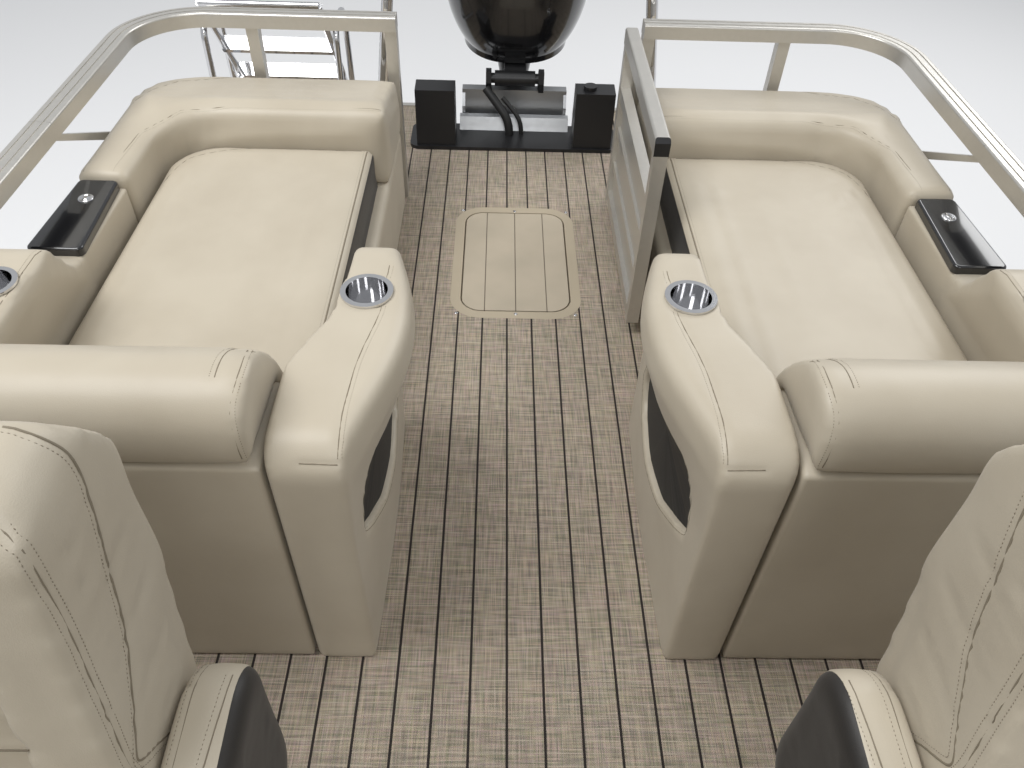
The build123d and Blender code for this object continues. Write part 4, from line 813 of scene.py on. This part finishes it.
# The fence as packed: faces of the aft side posts, the heads of the raked struts, and the
# lower mid rail with the skins' top edge. Then how far each of them moves
POST_FACES_Y = (1.181, 1.219)
POST_X = (-1.889, -1.8495)
POST_HEIGHT = (-0.001, 0.612)
STRUT_HEAD_X = (-1.93, -1.8885)
STRUT_HEAD_HEIGHT = (0.55, 0.64)
STRUT_FOOT_X = (-2.29, -2.24)
STRUT_Y = (1.17, 1.23)
MID_HEIGHT = (0.42, 0.48)
POST_MOVE, STRUT_HEAD_MOVE, STRUT_FOOT_MOVE, MID_MOVE = 0.45, 0.055, -0.02, -0.068


def within(value, ends):
    """Whether a value lies between two others."""
    return ends[0] < value < ends[1]


def fence_fit(spot):
    """Posts behind the side arms, a lower mid rail and a steeper strut, as photographed."""
    height, outward = spot.z - DECK, abs(spot.y)
    on_post = min(abs(outward - face) for face in POST_FACES_Y) < 0.0006
    if on_post and within(spot.x, POST_X) and within(height, POST_HEIGHT):
        spot.x += POST_MOVE
    on_strut = within(outward, STRUT_Y)
    if on_strut and within(spot.x, STRUT_HEAD_X) and within(height, STRUT_HEAD_HEIGHT):
        spot.x += STRUT_HEAD_MOVE
    if within(height, MID_HEIGHT):
        if on_strut and within(spot.x, STRUT_FOOT_X):
            spot.x += STRUT_FOOT_MOVE
        spot.z += MID_MOVE
    return spot


for name in ("stern_fence", "side_fence", "bow_fence"):
    fitted(name, move=fence_fit)
fitted("fence_panels", move=fence_fit)
fitted("boarding_ladder", body="ladder")

STEP_HALF, STEP_TOP = 0.2245, 0.0145
fitted("splash_well", materials=(black_satin, mill),
       rule=lambda at, facing: abs(at.y) < STEP_HALF and at.z > DECK + STEP_TOP)

# The black cap on the free end of the stern gate's top bar
CAP_LENGTH, CAP_HEIGHT = 0.014, 0.60
gate_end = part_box("stern_gate")[1].x
fitted("stern_gate", body="stern_gate", materials=(silver, black_satin),
       rule=lambda at, facing: at.z > DECK + CAP_HEIGHT and at.x > gate_end - CAP_LENGTH)


def hose(label, route, diameter):
    """One free hose on a smooth line through its route."""
    curve = bpy.data.curves.new(label, "CURVE")
    curve.dimensions = "3D"
    curve.bevel_depth = diameter / 2
    curve.bevel_resolution = 6
    curve.resolution_u = 24
    curve.use_fill_caps = True
    spline = curve.splines.new("NURBS")
    spline.points.add(len(route) - 1)
    for point, place in zip(spline.points, route):
        point.co = (*place, 1)
    spline.order_u = 3
    spline.use_endpoint_u = True
    curve.materials.append(rubber)
    piece = add_piece(label, curve, "boat")
    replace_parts(piece, "rigging_hoses")


hose("rigging_conduit", ((-3.065, -0.020, 0.8343), (-3.065, -0.020, 0.890),
                         (-3.095, -0.070, 0.950), (-3.130, -0.118, 0.998)), 0.034)
hose("fuel_hose", ((-3.072, 0.030, 0.8343), (-3.072, 0.030, 0.880),
                   (-3.090, -0.005, 0.930), (-3.110, -0.050, 0.970)), 0.018)


def turned_pieces(label, material, places, profile, sides=40):
    """One piece of turned forms: rings of (radius, height), standing up at each place."""
    made = bmesh.new()
    axis = Vector(UP)
    across = axis.orthogonal().normalized()
    other = axis.cross(across)
    for place in places:
        rings = [circle(made, Vector(place) + axis * height, across, other, radius, sides)
                 for radius, height in profile]
        for wall in close_rings(made, rings):
            wall.smooth = True
    mesh = bpy.data.meshes.new(label)
    made.to_mesh(mesh)
    made.free()
    mesh.materials.append(material)
    add_piece(label, mesh, "boat")


# Round latches on the side trays
LATCH = ((0.019, -0.001), (0.019, 0.0015), (0.0175, 0.003), (0.013, 0.003), (0.0125, 0.0018),
         (0.0105, 0.0018), (0.0095, 0.0034), (0.004, 0.0042))
turned_pieces("round_latches", chrome,
              [(-1.745, side * 1.098, DECK + 0.500) for _, side in HANDS], LATCH)

# Screws along the hatch ring's sides
SCREW = ((0.0062, -0.001), (0.0062, 0.0003), (0.0045, 0.0012), (0.0020, 0.0013), (0.0016, 0.0006))
SCREW_INSET = 0.022
ring_low, ring_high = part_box("hatch_ring")
turned_pieces("hatch_screws", steel,
              [(x, y, ring_high.z) for x in (ring_low.x + SCREW_INSET, ring_high.x - SCREW_INSET)
               for y in (ring_low.y + SCREW_INSET, 0.0, ring_high.y - SCREW_INSET)], SCREW, 20)


def studio():
    """A pale floor, soft lamps overhead and a pale world."""
    bpy.ops.mesh.primitive_plane_add(size=60, location=(0, 0, 0))
    ground = bpy.context.object
    ground.name = "studio_floor"
    made, tree, main, _ = shader("studio_floor", Roughness=0.6)
    rays = node(tree, "ShaderNodeLightPath").outputs
    direct = number(tree, "MAXIMUM", rays["Is Camera Ray"], rays["Is Glossy Ray"])
    direct = number(tree, "MAXIMUM", direct, rays["Is Transmission Ray"])
    tone = blend_colour(tree, direct, (0.5, 0.5, 0.5, 1), (0.80, 0.80, 0.80, 1))
    tree.links.new(tone, main.inputs["Base Color"])
    ground.data.materials.append(made)

    world = bpy.data.worlds.new("studio")
    bpy.context.scene.world = world
    world.use_nodes = True
    tree = world.node_tree
    rays = node(tree, "ShaderNodeLightPath").outputs
    direct = number(tree, "MAXIMUM", rays["Is Camera Ray"], rays["Is Transmission Ray"])
    background = tree.nodes["Background"]
    background.inputs["Color"].default_value = (0.95, 0.97, 1.0, 1)
    tree.links.new(remap(tree, direct, To_Min=0.55, To_Max=0.9), background.inputs["Strength"])

    # Label, place, tilt about x and y in degrees, and power
    for label, place, (tilt_x, tilt_y), power in (
            ("key", (-1.0, -2.5, 6.0), (8.0, 20.0), 225.0),
            ("fill", (-5.5, 3.5, 5.0), (-35.0, -35.0), 120.0),
            ("bow", (4.5, 1.0, 5.5), (15.0, 35.0), 120.0)):
        light = bpy.data.lights.new(label, "AREA")
        light.energy = power
        light.size = 3.0
        lamp = bpy.data.objects.new(label, light)
        lamp.location = place
        lamp.rotation_euler = Euler((radians(tilt_x), radians(tilt_y), 0))
        bpy.context.collection.objects.link(lamp)


def eye():
    """The photograph's camera."""
    lens = bpy.data.cameras.new("eye")
    lens.lens = EYE_LENS
    camera = bpy.data.objects.new("eye", lens)
    bpy.context.collection.objects.link(camera)
    forward, right, up = view_axes()
    turn = Matrix((right, up, -forward)).transposed()
    camera.matrix_world = Matrix.Translation(EYE) @ turn.to_4x4()
    bpy.context.scene.camera = camera


studio()
eye()
bpy.context.scene.view_settings.view_transform = "Standard"
